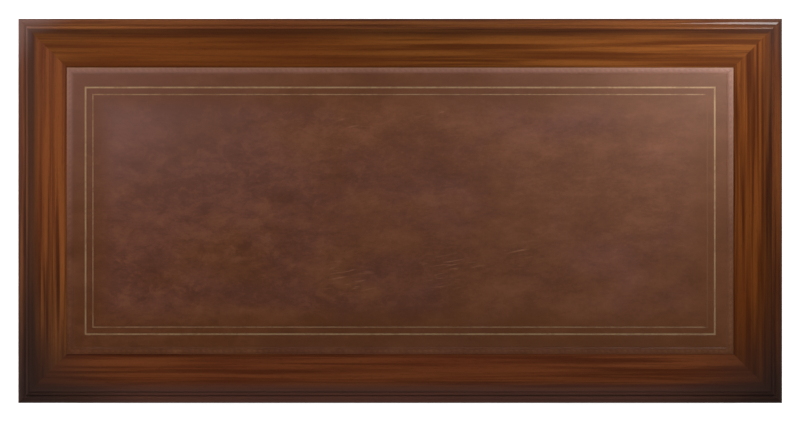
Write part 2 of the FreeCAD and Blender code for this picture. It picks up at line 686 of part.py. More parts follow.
def pull_post():
    """A post with a ball head, drilled across for the bail, and a shank through the front."""
    inner_end = FRONT_THICKNESS + NUT_HEIGHT + SHANK_TIP
    head_start = -PULL_STANDOFF + math.sqrt(POST_HEAD_RADIUS**2 - POST_NECK_RADIUS**2)
    post = turned([
        (0, inner_end),
        (SHANK_RADIUS, inner_end),
        (SHANK_RADIUS, -ROSETTE_THICKNESS),
        (POST_NECK_RADIUS, -ROSETTE_THICKNESS),
        (POST_NECK_RADIUS, head_start),
        ((POST_HEAD_RADIUS, -PULL_STANDOFF), (0, -PULL_STANDOFF - POST_HEAD_RADIUS)),
        (0, inner_end),
    ])
    across = POST_HEAD_RADIUS + OVERRUN
    hole_start = FreeCAD.Vector(-across, -PULL_STANDOFF, 0)
    return post.cut(rod(hole_start, X_AXIS * 2 * across, BAIL_RADIUS + PIVOT_CLEARANCE)).Solids[0]


def shank_nut():
    """A six-sided nut on the inside of a drawer front."""
    corners = []
    for number in range(NUT_SIDES):
        angle = 2 * math.pi * number / NUT_SIDES
        across, up = NUT_RADIUS * math.cos(angle), NUT_RADIUS * math.sin(angle)
        corners.append(FreeCAD.Vector(across, FRONT_THICKNESS, up))
    bore_start = FreeCAD.Vector(0, FRONT_THICKNESS - OVERRUN, 0)
    bore = rod(bore_start, Y_AXIS * (NUT_HEIGHT + 2 * OVERRUN), SHANK_RADIUS + SHANK_CLEARANCE)
    return prism(corners, Y_AXIS * NUT_HEIGHT).cut(bore).Solids[0]


def pull_fittings(pulls, height):
    """The rosette, post and nut at each end of each pull on a drawer."""
    fittings = [rosette(SHANK_RADIUS + SHANK_CLEARANCE), pull_post(), shank_nut()]
    solids = []
    for x in pulls:
        for end in (-1, 1):
            solids += placed(fittings, 0, FreeCAD.Vector(x + end * PULL_CENTRES / 2, 0, height / 2))
    return solids


def bail_points():
    """The (x, z) points of the bail's left half: straights joined by arcs of three points."""
    turn = math.radians(BAIL_TURN_DEGREES)
    tip = (-PULL_CENTRES / 2 - BAIL_PIN_TIP, 0)
    elbow = (-PULL_CENTRES / 2 + BAIL_PIN_RUN, 0)
    points = [tip, elbow]
    for angle in (turn / 2, turn):
        across = BAIL_SHOULDER_RADIUS * math.sin(angle)
        down = BAIL_SHOULDER_RADIUS * (1 - math.cos(angle))
        points.append((elbow[0] + across, -down))
    leg_end = (points[-1][0] + BAIL_LEG * math.cos(turn), points[-1][1] - BAIL_LEG * math.sin(turn))
    points.append(leg_end)
    foot_x = leg_end[0] + BAIL_FOOT_RADIUS * math.sin(turn)
    foot_z = leg_end[1] + BAIL_FOOT_RADIUS * math.cos(turn)
    for angle in (turn / 2, 0):
        across, down = BAIL_FOOT_RADIUS * math.sin(angle), BAIL_FOOT_RADIUS * math.cos(angle)
        points.append((foot_x - across, foot_z - down))
    return points


def bail():
    """A swan-necked bail with its pins on the pivot line and a swelling grip."""
    left = [FreeCAD.Vector(x, -PULL_STANDOFF, z) for x, z in bail_points()]
    points = left + [FreeCAD.Vector(-point.x, point.y, point.z) for point in reversed(left)]
    edges = []
    for start in range(0, len(points), 3):
        edges.append(Part.LineSegment(points[start], points[start + 1]).toShape())
        if start + 3 < len(points):
            edges.append(Part.Arc(*points[start + 1:start + 4]).toShape())
    section = Part.Wire(Part.Circle(left[0], X_AXIS, BAIL_RADIUS).toShape())
    tube = Part.Wire(edges).makePipeShell([section], True, False)
    foot = left[-1].z
    ends = (-GRIP_LENGTH / 2, GRIP_LENGTH / 2)
    path = [
        (0, ends[0]),
        (GRIP_COLLAR_RADIUS, ends[0]),
        ((GRIP_RADIUS, 0), (GRIP_COLLAR_RADIUS, ends[1])),
        (0, ends[1]),
        (0, ends[0]),
    ]
    face = profile_face(path, lambda radius, x: FreeCAD.Vector(x, -PULL_STANDOFF, foot + radius))
    grip = face.revolve(FreeCAD.Vector(0, -PULL_STANDOFF, foot), X_AXIS, FULL_TURN)
    return tube.fuse(grip).Solids[0]


# Cupboard doors, made for the right-hand pedestal and mirrored for the left

def latch_parts():
    """The turning knob with its spindle, and the tongue that hangs from its inner end."""
    ball_middle = -KNOB_PROJECTION + KNOB_RADIUS
    ball_start = ball_middle + math.sqrt(KNOB_RADIUS**2 - KNOB_NECK_RADIUS**2)
    collar = -ROSETTE_THICKNESS - KNOB_CLEARANCE
    knob = turned([
        (0, TONGUE_FACE),
        (SPINDLE_RADIUS, TONGUE_FACE),
        (SPINDLE_RADIUS, collar),
        (KNOB_NECK_RADIUS, collar),
        (KNOB_NECK_RADIUS, ball_start),
        ((KNOB_RADIUS, ball_middle), (0, -KNOB_PROJECTION)),
        (0, TONGUE_FACE),
    ])
    half = TONGUE_WIDTH / 2
    tongue = block((-half, half), (TONGUE_FACE, TONGUE_FACE + TONGUE_THICKNESS), (-TONGUE_REACH, half))
    return [knob, tongue]


def door_latch():
    """The right door's latch in its place on the inner stile."""
    return placed(latch_parts(), HALF_TURN, FreeCAD.Vector(LATCH_X, CASE_HALF_DEPTH, LATCH_Z))


def door():
    """The right cupboard door, drilled for its latch."""
    foot = PEDESTAL_OPENING[0] + DOOR_GAP
    height = PEDESTAL_OPENING[1] - DOOR_GAP - foot
    frame = framed_panel(
        BAY_WIDTH - 2 * DOOR_GAP, height, DOOR_STILE_WIDTH, DOOR_TOP_RAIL, DOOR_BOTTOM_RAIL, 0
    )
    hole_start = FreeCAD.Vector(LATCH_X, CASE_HALF_DEPTH + OVERRUN, LATCH_Z)
    hole = rod(hole_start, -Y_AXIS * (CASE_THICKNESS + 2 * OVERRUN), SPINDLE_RADIUS + SPINDLE_CLEARANCE)
    pieces = placed(frame, HALF_TURN, FreeCAD.Vector(PEDESTAL_MIDDLE, CASE_HALF_DEPTH, foot))
    return [piece.cut(hole).Solids[0] for piece in pieces]


def hinge_heights():
    """The foot of each of a door's two hinges."""
    half = HINGE_HEIGHT / 2
    return [PEDESTAL_OPENING[0] + HINGE_INSET - half, PEDESTAL_OPENING[1] - HINGE_INSET - half]


def hinge_leaf(x_span, foot, knuckles):
    """A hinge leaf in the gap beside the door, with the knuckles that belong to it."""
    flat = block(x_span, (CASE_HALF_DEPTH - LEAF_DEPTH, CASE_HALF_DEPTH), (foot, foot + HINGE_HEIGHT))
    bore = rod(
        FreeCAD.Vector(HINGE_X, HINGE_Y, foot - OVERRUN),
        Z_AXIS * (HINGE_HEIGHT + 2 * OVERRUN),
        HINGE_PIN_RADIUS + HINGE_PIN_CLEARANCE,
    )
    pieces = []
    for low, high in knuckles:
        pieces.append(block(x_span, (CASE_HALF_DEPTH, HINGE_Y), (low, high)))
        pieces.append(rod(FreeCAD.Vector(HINGE_X, HINGE_Y, low), Z_AXIS * (high - low), KNUCKLE_RADIUS))
    return flat.fuse(pieces).cut(bore).removeSplitter().Solids[0]


def hinge_knuckles(foot):
    """The heights of a hinge's lower, middle and upper knuckles."""
    third = HINGE_HEIGHT / 3
    middle = (foot + third, foot + 2 * third)
    return (foot, middle[0] - KNUCKLE_GAP), middle, (middle[1] + KNUCKLE_GAP, foot + HINGE_HEIGHT)


def fixed_hinges():
    """The case's hinge leaves with two knuckles each, and the pins through them."""
    solids = []
    for foot in hinge_heights():
        lower, _, upper = hinge_knuckles(foot)
        solids.append(hinge_leaf((BAY_OUT - LEAF_THICKNESS, BAY_OUT), foot, (lower, upper)))
        head = foot + HINGE_HEIGHT
        pin = rod(FreeCAD.Vector(HINGE_X, HINGE_Y, foot), Z_AXIS * HINGE_HEIGHT, HINGE_PIN_RADIUS)
        cap = rod(FreeCAD.Vector(HINGE_X, HINGE_Y, head), Z_AXIS * HINGE_CAP_HEIGHT, KNUCKLE_RADIUS)
        solids += pin.fuse(cap).Solids
    return solids


def door_fittings():
    """The right door's hinge leaves with their knuckles, and the rose round its latch."""
    door_edge = BAY_OUT - DOOR_GAP
    solids = []
    for foot in hinge_heights():
        solids.append(hinge_leaf((door_edge, door_edge + LEAF_THICKNESS), foot, hinge_knuckles(foot)[1:2]))
    rose = rosette(SPINDLE_RADIUS + SPINDLE_CLEARANCE)
    return solids + placed([rose], HALF_TURN, FreeCAD.Vector(LATCH_X, CASE_HALF_DEPTH, LATCH_Z))


# The whole desk

def drawer_places():
    """Each drawer's name with its opening's width, height, depth, turn, place and pulls."""
    places = {}
    frieze_height = FRIEZE_OPENING[1] - FRIEZE_OPENING[0]
    for face, turn, way in (("front", 0, 1), ("back", HALF_TURN, -1)):
        for name, (low, high) in FRIEZE_BAYS.items():
            width = high - low
            offset = width * WIDE_PULL_SHARE
            pulls = {"left": -way * offset, "right": way * offset} if name == "centre" else {"": 0}
            place = FreeCAD.Vector((low + high) / 2, way * FRONT_FACE, FRIEZE_OPENING[0])
            size = (width, frieze_height, FRIEZE_ZONE_DEPTH)
            places[f"{face}_{name}_frieze_drawer"] = (size, turn, place, pulls)
    for name, middle in (("left", -PEDESTAL_MIDDLE), ("right", PEDESTAL_MIDDLE)):
        for level, (foot, head) in pedestal_drawer_spans().items():
            place = FreeCAD.Vector(middle, FRONT_FACE, foot)
            size = (BAY_WIDTH, head - foot, DRAWER_ZONE_DEPTH)
            places[f"{name}_{level}_drawer"] = (size, 0, place, {"": 0})
    return places


def bail_name(drawer_name, end):
    """The name of a drawer's bail, with the end of the drawer that it is on if there are two."""
    return f"{drawer_name}_{end}_bail" if end else f"{drawer_name}_bail"


def drawer_nodes():
    """Every drawer, its pull fittings and its bails, in their places."""
    nodes = {}
    for name, (size, turn, place, pulls) in drawer_places().items():
        width, height, depth = size
        across = list(pulls.values())
        nodes[name] = placed(drawer(width, height, depth, across), turn, place)
        nodes[f"{name}_pulls"] = placed(pull_fittings(across, height), turn, place)
        for end, x in pulls.items():
            hung = placed([bail()], 0, FreeCAD.Vector(x, 0, height / 2))
            nodes[bail_name(name, end)] = placed(hung, turn, place)
    return nodes


def desk():
    """Every node of the desk by name, as a list of solids."""
    nodes = top_border()
    nodes["top_core_panel"] = core_panel()
    nodes["writing_leather"] = writing_leather()
    nodes["frieze_ends"] = frieze_ends()
    nodes["frieze_face_frame"] = frieze_face_frame()
    nodes["frieze_inner_frame"] = frieze_inner_frame()
    pairs = {
        "pedestal_sides": pedestal_sides(),
        "pedestal_frame": pedestal_frame(),
        "door": door(),
        "door_fittings": door_fittings(),
        "door_latch": door_latch(),
    }
    for name, solids in pairs.items():
        nodes[f"right_{name}"] = solids
        nodes[f"left_{name}"] = mirrored(solids)
    nodes["plinths"] = plinth() + mirrored(plinth())
    nodes["door_hinges"] = fixed_hinges() + mirrored(fixed_hinges())
    screws = [screw_solid(x, y, 0) for x, y in screw_places()]
    nodes["case_fasteners"] = screws + [peg_solid(x, y, 0) for x, y in peg_places()]
    nodes.update(drawer_nodes())
    return nodes


def main():
    """Write one STEP file for each node."""
    os.makedirs("parts", exist_ok=True)
    for name, solids in desk().items():
        Part.makeCompound(solids).exportStep(f"parts/{name}.step")


if __name__ == "__main__":
    main()
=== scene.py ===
"""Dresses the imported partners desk: jointed mahogany, gilt-tooled leather, aged brass and a plain studio."""

from __future__ import annotations

import json
import logging
import math
import random
from collections.abc import Iterator, Sequence
from contextlib import contextmanager
from dataclasses import dataclass, field
from enum import Enum
from typing import Union

import bmesh
import bpy
import numpy as np
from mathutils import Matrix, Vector

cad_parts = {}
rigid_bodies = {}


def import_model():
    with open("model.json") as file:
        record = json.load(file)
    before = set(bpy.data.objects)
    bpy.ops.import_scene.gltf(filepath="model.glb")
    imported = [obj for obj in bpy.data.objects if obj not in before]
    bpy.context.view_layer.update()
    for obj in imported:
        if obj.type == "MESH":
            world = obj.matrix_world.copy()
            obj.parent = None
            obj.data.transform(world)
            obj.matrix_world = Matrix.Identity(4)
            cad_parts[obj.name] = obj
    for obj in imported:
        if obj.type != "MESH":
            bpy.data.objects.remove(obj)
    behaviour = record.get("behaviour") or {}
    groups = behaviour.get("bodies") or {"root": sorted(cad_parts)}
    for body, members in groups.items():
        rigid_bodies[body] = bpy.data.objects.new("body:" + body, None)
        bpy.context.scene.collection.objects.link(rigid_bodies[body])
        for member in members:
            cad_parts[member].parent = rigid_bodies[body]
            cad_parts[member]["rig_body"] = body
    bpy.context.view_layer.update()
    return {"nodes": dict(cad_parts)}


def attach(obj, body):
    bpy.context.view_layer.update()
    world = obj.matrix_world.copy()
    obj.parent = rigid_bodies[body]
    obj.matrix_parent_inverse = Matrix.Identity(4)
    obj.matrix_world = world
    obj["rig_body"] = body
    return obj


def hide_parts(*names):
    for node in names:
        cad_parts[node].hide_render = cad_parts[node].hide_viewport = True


LOG = logging.getLogger("partners_desk")
CASE = "case"
GRAIN = "grain"
WELD = 1e-6
TOP_HALF = (0.915, 0.4605)
LEATHER_HALF = (0.7967, 0.3422)
MIDDLE = (0.0, 0.0, 0.0)

Colour = tuple[float, float, float, float]
Triple = tuple[float, float, float]
Pair = tuple[float, float]


def tint(red: int, green: int, blue: int) -> Colour:
    """Turns a colour as a screen shows it into the linear one that shaders take.

    Args:
        red: Red, 0 to 255.
        green: Green, 0 to 255.
        blue: Blue, 0 to 255.

    Returns:
        The linear colour with full alpha.
    """
    parts = [value / 255 for value in (red, green, blue)]
    linear = [part / 12.92 if part <= 0.04045 else ((part + 0.055) / 1.055) ** 2.4 for part in parts]
    return (linear[0], linear[1], linear[2], 1.0)


# Shaders


class Field:
    """A number socket that takes part in Python sums, each of which adds a Math node."""

    def __init__(self, shader: Shader, socket: bpy.types.NodeSocket) -> None:
        """Keeps the socket and the shader that it belongs to."""
        self.shader = shader
        self.socket = socket

    def __add__(self, other: Number) -> Field:
        """Adds."""
        return self.shader.math("ADD", self, other)

    def __radd__(self, other: Number) -> Field:
        """Adds, with the number first."""
        return self.shader.math("ADD", other, self)

    def __sub__(self, other: Number) -> Field:
        """Subtracts."""
        return self.shader.math("SUBTRACT", self, other)

    def __rsub__(self, other: Number) -> Field:
        """Subtracts from a number."""
        return self.shader.math("SUBTRACT", other, self)

    def __mul__(self, other: Number) -> Field:
        """Multiplies."""
        return self.shader.math("MULTIPLY", self, other)

    def __rmul__(self, other: Number) -> Field:
        """Multiplies, with the number first."""
        return self.shader.math("MULTIPLY", other, self)

    def __truediv__(self, other: Number) -> Field:
        """Divides."""
        return self.shader.math("DIVIDE", self, other)

    def __rtruediv__(self, other: Number) -> Field:
        """Divides a number by this."""
        return self.shader.math("DIVIDE", other, self)

    def __abs__(self) -> Field:
        """Drops the sign."""
        return self.shader.math("ABSOLUTE", self)

    def least(self, other: Number) -> Field:
        """Takes the smaller of the two."""
        return self.shader.math("MINIMUM", self, other)

    def rise(self, low: float, high: float) -> Field:
        """Climbs smoothly from 0 to 1.

        Args:
            low: The value up to which the result is 0.
            high: The value from which the result is 1.

        Returns:
            The smooth step.
        """
        settings = {"interpolation_type": "SMOOTHSTEP"}
        made = self.shader.node("ShaderNodeMapRange", settings, {"Value": self, 1: low, 2: high})
        return Field(self.shader, made.outputs[0])


Number = Union[Field, float]
Link = Union[Field, bpy.types.NodeSocket, float, Sequence[float]]


class Shader:
    """Adds nodes to one node tree."""

    def __init__(self, tree: bpy.types.NodeTree) -> None:
        """Empties the tree."""
        self.tree = tree
        tree.nodes.clear()

    @classmethod
    def of_material(cls, name: str) -> tuple[bpy.types.Material, Shader]:
        """Makes a material.

        Args:
            name: The material's name.

        Returns:
            The material and the shader that fills it.
        """
        material = bpy.data.materials.new(name)
        material.use_nodes = True
        return material, cls(material.node_tree)

    def node(self, kind: str, settings: dict | None = None, sockets: dict | None = None) -> bpy.types.Node:
        """Adds one node.

        Args:
            kind: The node's type.
            settings: Its properties, and a ramp's stops, which are set first.
            sockets: The values or links of its inputs, by name or number.

        Returns:
            The node.
        """
        made = self.tree.nodes.new(kind)
        for key, value in (settings or {}).items():
            if key == "stops":
                self._set_stops(made.color_ramp, value)
            else:
                setattr(made, key, value)
        for key, value in (sockets or {}).items():
            socket = value.socket if isinstance(value, Field) else value
            if isinstance(socket, bpy.types.NodeSocket):
                self.tree.links.new(socket, made.inputs[key])
            else:
                made.inputs[key].default_value = socket
        return made

    @staticmethod
    def _set_stops(ramp: bpy.types.ColorRamp, stops: Sequence[Pair]) -> None:
        """Sets a ramp's grey stops.

        Args:
            ramp: The ramp.
            stops: The place and the level of each stop.
        """
        while len(ramp.elements) < len(stops):
            ramp.elements.new(1.0)
        for element, (place, level) in zip(ramp.elements, stops):
            element.position = place
            element.color = (level, level, level, 1.0)

    def math(self, operation: str, *values: Number) -> Field:
        """Adds a Math node.

        Args:
            operation: The node's operation.
            values: Its inputs.

        Returns:
            The result.
        """
        made = self.node("ShaderNodeMath", {"operation": operation}, dict(enumerate(values)))
        return Field(self, made.outputs[0])

    def grain(self) -> bpy.types.NodeSocket:
        """Reads the board's own coordinates: along, across and through it."""
        return self.node("ShaderNodeAttribute", {"attribute_name": GRAIN}).outputs["Vector"]

    def place(self) -> bpy.types.NodeSocket:
        """Reads the Object coordinates."""
        return self.node("ShaderNodeTexCoord").outputs["Object"]

    def parts(self, vector: bpy.types.NodeSocket) -> list[Field]:
        """Splits a vector into its three numbers."""
        made = self.node("ShaderNodeSeparateXYZ", None, {0: vector})
        return [Field(self, socket) for socket in made.outputs]

    def vector(self, *values: Number) -> bpy.types.NodeSocket:
        """Joins three numbers into a vector."""
        return self.node("ShaderNodeCombineXYZ", None, dict(enumerate(values))).outputs[0]

    def scaled(self, vector: bpy.types.NodeSocket, factors: Triple) -> bpy.types.NodeSocket:
        """Multiplies a vector part by part."""
        made = self.node("ShaderNodeVectorMath", {"operation": "MULTIPLY"}, {0: vector, 1: factors})
        return made.outputs[0]

    def noise(self, vector: bpy.types.NodeSocket, detail: float = 2.0, roughness: float = 0.5,
              distortion: float = 0.0) -> Field:
        """Adds a noise of about one feature to each unit of the vector.

        Args:
            vector: Where to read it.
            detail: How many finer layers it has.
            roughness: How strong they are.
            distortion: How far it is warped.

        Returns:
            The noise, from about 0.2 to 0.8.
        """
        sockets = {"Vector": vector, "Scale": 1.0, "Detail": detail, "Roughness": roughness,
                   "Distortion": distortion}
        return Field(self, self.node("ShaderNodeTexNoise", None, sockets).outputs[0])

    def cells(self, vector: bpy.types.NodeSocket, smoothness: float = 0.6) -> Field:
        """Adds rounded cells, one to each unit of the vector.

        Args:
            vector: Where to read them.
            smoothness: How softly they meet.

        Returns:
            The distance from the nearest cell's middle.
        """
        sockets = {"Vector": vector, "Scale": 1.0, "Smoothness": smoothness}
        made = self.node("ShaderNodeTexVoronoi", {"feature": "SMOOTH_F1"}, sockets)
        return Field(self, made.outputs["Distance"])

    def blend(self, factor: Number, first: Link, second: Link, mode: str = "MIX") -> bpy.types.NodeSocket:
        """Mixes two colours.

        Args:
            factor: The share of the second.
            first: The first colour.
            second: The second colour.
            mode: The way of mixing.

        Returns:
            The mixed colour.
        """
        settings = {"data_type": "RGBA", "blend_type": mode}
        return self.node("ShaderNodeMix", settings, {0: factor, 6: first, 7: second}).outputs[2]

    def levels(self, factor: Field, stops: Sequence[Pair]) -> bpy.types.NodeSocket:
        """Reads a grey level from a ramp.

        Args:
            factor: Where to read it, 0 to 1.
            stops: The ramp's places and levels.

        Returns:
            The grey colour.
        """
        return self.node("ShaderNodeValToRGB", {"stops": stops}, {0: factor}).outputs[0]

    def surface(self, sockets: dict, height: Field, depth: float) -> None:
        """Ends a material with a Principled shader.

        Args:
            sockets: The shader's values and links.
            height: The height of the surface's relief, about 0 to 1.
            depth: How far the relief reaches, in metres.
        """
        bump = self.node("ShaderNodeBump", None, {"Height": height, "Strength": 1.0, "Distance": depth})
        shader = self.node("ShaderNodeBsdfPrincipled", None, {**sockets, "Normal": bump.outputs[0]})
        self.node("ShaderNodeOutputMaterial", None, {"Surface": shader.outputs[0]})


# Finishes


@dataclass(frozen=True)
class Mahogany:
    """French-polished mahogany, with a ribbon figure that runs along each board."""

    name: str = "mahogany_polish"
    pale: Colour = tint(105, 58, 26)
    deep: Colour = tint(75, 37, 16)
    red: Colour = tint(84, 39, 19)
    pore: Colour = tint(36, 16, 8)
    stain: Colour = tint(44, 31, 27)
    ribbon: Triple = (2.2, 74.0, 20.0)
    streak: Triple = (2.8, 250.0, 250.0)
    drift: Triple = (1.7, 7.0, 7.0)
    pores: Triple = (55.0, 1300.0, 1300.0)
    figure: Triple = (0.62, 0.26, 0.12)
    figure_range: Pair = (0.38, 0.62)
    red_range: Pair = (0.42, 0.72)
    red_share: float = 0.55
    pore_range: Pair = (0.58, 0.74)
    pore_share: float = 0.4
    relief: float = 0.000008
    streak_relief: float = 0.35
    gloss: float = 0.16
    drift_dulling: float = 0.08
    pore_dulling: float = 0.16
    bare_dulling: float = 0.25
    specular: float = 0.0
    coat: float = 0.16
    coat_roughness: float = 0.12

    def material(self) -> bpy.types.Material:
        """Builds the material.

        Returns:
            The material.
        """
        material, shader = Shader.of_material(self.name)
        grain = shader.grain()
        ribbon = shader.noise(shader.scaled(grain, self.ribbon), distortion=0.25)
        streak = shader.noise(shader.scaled(grain, self.streak), detail=3.0, roughness=0.6)
        drift = shader.noise(shader.scaled(grain, self.drift), detail=1.0)
        pores = shader.noise(shader.scaled(grain, self.pores), detail=1.0).rise(*self.pore_range)
        tone = self.figure[0] * ribbon + self.figure[1] * streak + self.figure[2] * drift
        colour = shader.blend(tone.rise(*self.figure_range), self.deep, self.pale)
        colour = shader.blend(drift.rise(*self.red_range) * self.red_share, colour, self.red)
        colour = shader.blend(pores * self.pore_share, colour, self.pore)
        colour = self.stain_and_painted_light(shader, colour)
        polish = self.polish(shader)
        roughness = self.gloss + self.drift_dulling * drift + self.pore_dulling * pores
        sockets = {"Base Color": colour, "Roughness": roughness + self.bare_dulling * (1.0 - polish),
                   "Specular IOR Level": self.specular, "Coat Weight": self.coat * polish,
                   "Coat Roughness": self.coat_roughness}
        shader.surface(sockets, self.streak_relief * streak - pores, self.relief)
        return material

    def stain_and_painted_light(self, shader: Shader, colour: bpy.types.NodeSocket) -> bpy.types.NodeSocket:
        """Leaves the colour as it is; the border's bars darken it with stain and paint light and shade into
        it.
        """
        return colour

    def polish(self, shader: Shader) -> Number:
        """Says how much of the polish is left: all of it."""
        return 1.0


@dataclass(frozen=True)
class RubbedMahogany(Mahogany):
    """The arrises of the boards, where hands and dusters have rubbed the stain away."""

    name: str = "mahogany_rubbed"
    pale: Colour = tint(142, 84, 36)
    deep: Colour = tint(100, 50, 20)
    red: Colour = tint(110, 52, 22)


@dataclass(frozen=True)
class BorderMahogany(Mahogany):
    """A bar of the top's border, with old stain and painted shade in the moulding's quirks, stain at the
    corners, and a painted highlight and haze on the moulding.

    The levels of the profile give the colour at each distance from the edge of the top: partly stain, partly
    painted shade in the quirk and along the hide's edge and a painted highlight on the beads. The ranges of
    the moulding are such distances too, and those of the mitre and corner add up both sides' distances.
    """

    half_length: float = TOP_HALF[0]
    half_depth: float = TOP_HALF[1]
    gloss: float = 0.22
    specular: float = 0.01
    coat: float = 0.45
    coat_roughness: float = 0.075
    # bloom: the colour of a painted haze of reflected light on the outer moulding.
    bloom: Colour = tint(82, 58, 52)
    # Colour of a painted sheen of reflected light at the left mitres.
    painted_corner_sheen: Colour = tint(80, 63, 60)
    # Share of the painted haze of reflected light on the outer moulding.
    painted_haze: float = 0.08
    # Share of painted shade in the moulding's quirk, in the stain colour.
    gathered: float = 0.0
    reach: float = 0.125
    stain_and_shade_profile: tuple[Pair, ...] = (
        (0.000, 0.38), (0.004, 0.62), (0.009, 0.86), (0.014, 0.94), (0.0175, 0.86), (0.0195, 0.84),
        (0.0225, 0.84), (0.0262, 0.66), (0.0280, 0.44), (0.0320, 0.47), (0.0370, 0.56), (0.0430, 0.70),
        (0.0500, 0.88), (0.0580, 1.00), (0.1100, 1.00), (0.1160, 0.80), (0.1180, 0.60),
    )
    rim_range: Pair = (0.022, 0.058)
    quirk_start: Pair = (0.015, 0.019)
    quirk_end: Pair = (0.034, 0.050)
    mitre_range: Pair = (0.03, 0.15)
    mitre_end: Pair = (0.026, 0.040)
    mitre_share: float = 0.55
    corner_start: float = 0.02
    corner_reach: float = 0.36
    corner_stain: float = 0.55
    corner_lean: float = 0.45
    smudge: Triple = (5.0, 5.0, 5.0)
    smudge_least: float = 0.5
    satin: float = 0.14
    back_range: Pair = (0.6, 1.0)
    back_polish: float = 0.18
    right_range: Pair = (0.60, 1.0)
    right_polish: float = 0.42
    bead_end: Pair = (0.014, 0.020)
    bead_loss: float = 0.5
    flat_start: Pair = (0.025, 0.040)

    def stain_and_painted_light(self, shader: Shader, colour: bpy.types.NodeSocket) -> bpy.types.NodeSocket:
        """Darkens the colour with stain by its distance from the edge and from the corners, and paints shade,
        highlights and haze into the moulding.

        Args:
            shader: The material's shader.
            colour: The wood's colour.

        Returns:
            The colour, stained and with painted light and shade.
        """
        place = shader.place()
        x, y, _ = shader.parts(place)
        from_end = self.half_length - abs(x)
        from_side = self.half_depth - abs(y)
        smudge = shader.noise(shader.scaled(place, self.smudge))
        edge = from_end.least(from_side)
        # Stain and painted light: the profile darkens the quirk and the hide's edge as shade would, and
        # lightens the bead's crown as a highlight.
        stops = [(distance / self.reach, level) for distance, level in self.stain_and_shade_profile]
        colour = shader.blend(1.0, colour, shader.levels(edge / self.reach, stops), "MULTIPLY")
        # Painted haze of reflected light on the outer moulding, in the bloom colour.
        rim = 1.0 - edge.rise(*self.rim_range)
        colour = shader.blend(rim * self.painted_haze, colour, self.bloom)
        # Painted shade in the moulding's quirk, in the stain colour.
        quirk = edge.rise(*self.quirk_start) * (1.0 - edge.rise(*self.quirk_end))
        colour = shader.blend(quirk * self.gathered, colour, self.stain)
        mitre = 1.0 - (from_end + from_side).rise(*self.mitre_range)
        mitre = mitre * (1.0 - edge.rise(*self.mitre_end))
        right = 0.5 + 0.5 * (x / self.half_length)
        colour = shader.blend(mitre * right * self.mitre_share, colour, self.stain)
        # Painted sheen of reflected light on the moulding at the left mitres.
        colour = shader.blend(mitre * (1.0 - right) * self.mitre_share, colour, self.painted_corner_sheen)
        lean = self.corner_stain - self.corner_lean * (y / self.half_depth)
        corner = 1.0 - (from_end + from_side).rise(self.corner_start, self.corner_reach)
        return shader.blend(corner * lean * (self.smudge_least + smudge), colour, self.stain)

    def polish(self, shader: Shader) -> Number:
        """Leaves a satin polish on the flat, and a bright one on the moulding at the back of the desk.

        Args:
            shader: The material's shader.

        Returns:
            How much of the polish is left, 0 to 1.
        """
        x, y, _ = shader.parts(shader.place())
        edge = (self.half_length - abs(x)).least(self.half_depth - abs(y))
        back = (y / self.half_depth).rise(*self.back_range)
        right = (x / self.half_length).rise(*self.right_range)
        kept = back * (self.back_polish + self.right_polish * right)
        bead = 1.0 - self.bead_loss * edge.rise(*self.bead_end)
        flat = edge.rise(*self.flat_start)
        return self.satin * flat + (1.0 - flat) * kept * bead


@dataclass(frozen=True)
class Oak:
    """Plain oak, left without polish, for the drawer linings and the inner frame."""

    name: str = "oak_plain"
    pale: Colour = tint(176, 132, 84)
    deep: Colour = tint(132, 90, 52)
    pore: Colour = tint(84, 54, 32)
    rings: Triple = (2.2, 38.0, 38.0)
    pores: Triple = (40.0, 900.0, 900.0)
    age: Triple = (4.0, 4.0, 4.0)
    ring_share: float = 0.7
    tone_range: Pair = (0.35, 0.65)
    pore_range: Pair = (0.55, 0.72)
    pore_share: float = 0.55
    dullness: float = 0.62
    pore_dulling: float = 0.2
    specular: float = 0.3
    relief: float = 0.00015
    ring_relief: float = 0.4

    def material(self) -> bpy.types.Material:
        """Builds the material.

        Returns:
            The material.
        """
        material, shader = Shader.of_material(self.name)
        grain = shader.grain()
        rings = shader.noise(shader.scaled(grain, self.rings), detail=3.0, roughness=0.6, distortion=0.4)
        pores = shader.noise(shader.scaled(grain, self.pores), detail=1.0).rise(*self.pore_range)
        age = shader.noise(shader.scaled(grain, self.age))
        tone = self.ring_share * rings + (1.0 - self.ring_share) * age
        colour = shader.blend(tone.rise(*self.tone_range), self.deep, self.pale)
        colour = shader.blend(pores * self.pore_share, colour, self.pore)
        sockets = {"Base Color": colour, "Roughness": self.dullness + self.pore_dulling * pores,
                   "Specular IOR Level": self.specular}
        shader.surface(sockets, self.ring_relief * rings - pores, self.relief)
        return material


@dataclass(frozen=True)
class Mottle:
    """One size of a hide's mottling, dark where its noise is low and pale where it is high."""

    size: Triple
    detail: float
    roughness: float
    dark_range: Pair
    dark_share: float
    pale_range: Pair
    pale_share: float
    distortion: float = 0.0

    def spread(self, shader: Shader, place: bpy.types.NodeSocket) -> Field:
        """Makes the noise."""
        return shader.noise(shader.scaled(place, self.size), self.detail, self.roughness, self.distortion)

    def laid(self, shader: Shader, colour: bpy.types.NodeSocket, spread: Field, hide: Hide,
             strength: Number = 1.0) -> bpy.types.NodeSocket:
        """Lays the mottling over a colour.

        Args:
            shader: The material's shader.
            colour: The colour.
            spread: The noise.
            hide: The hide, which has the dark colour and the pale one.
            strength: How much of the mottling shows.

        Returns:
            The mottled colour.
        """
        low = 1.0 - spread.rise(*self.dark_range)
        colour = shader.blend(low * (strength * self.dark_share), colour, hide.dark)
        high = spread.rise(*self.pale_range)
        return shader.blend(high * (strength * self.pale_share), colour, hide.pale)


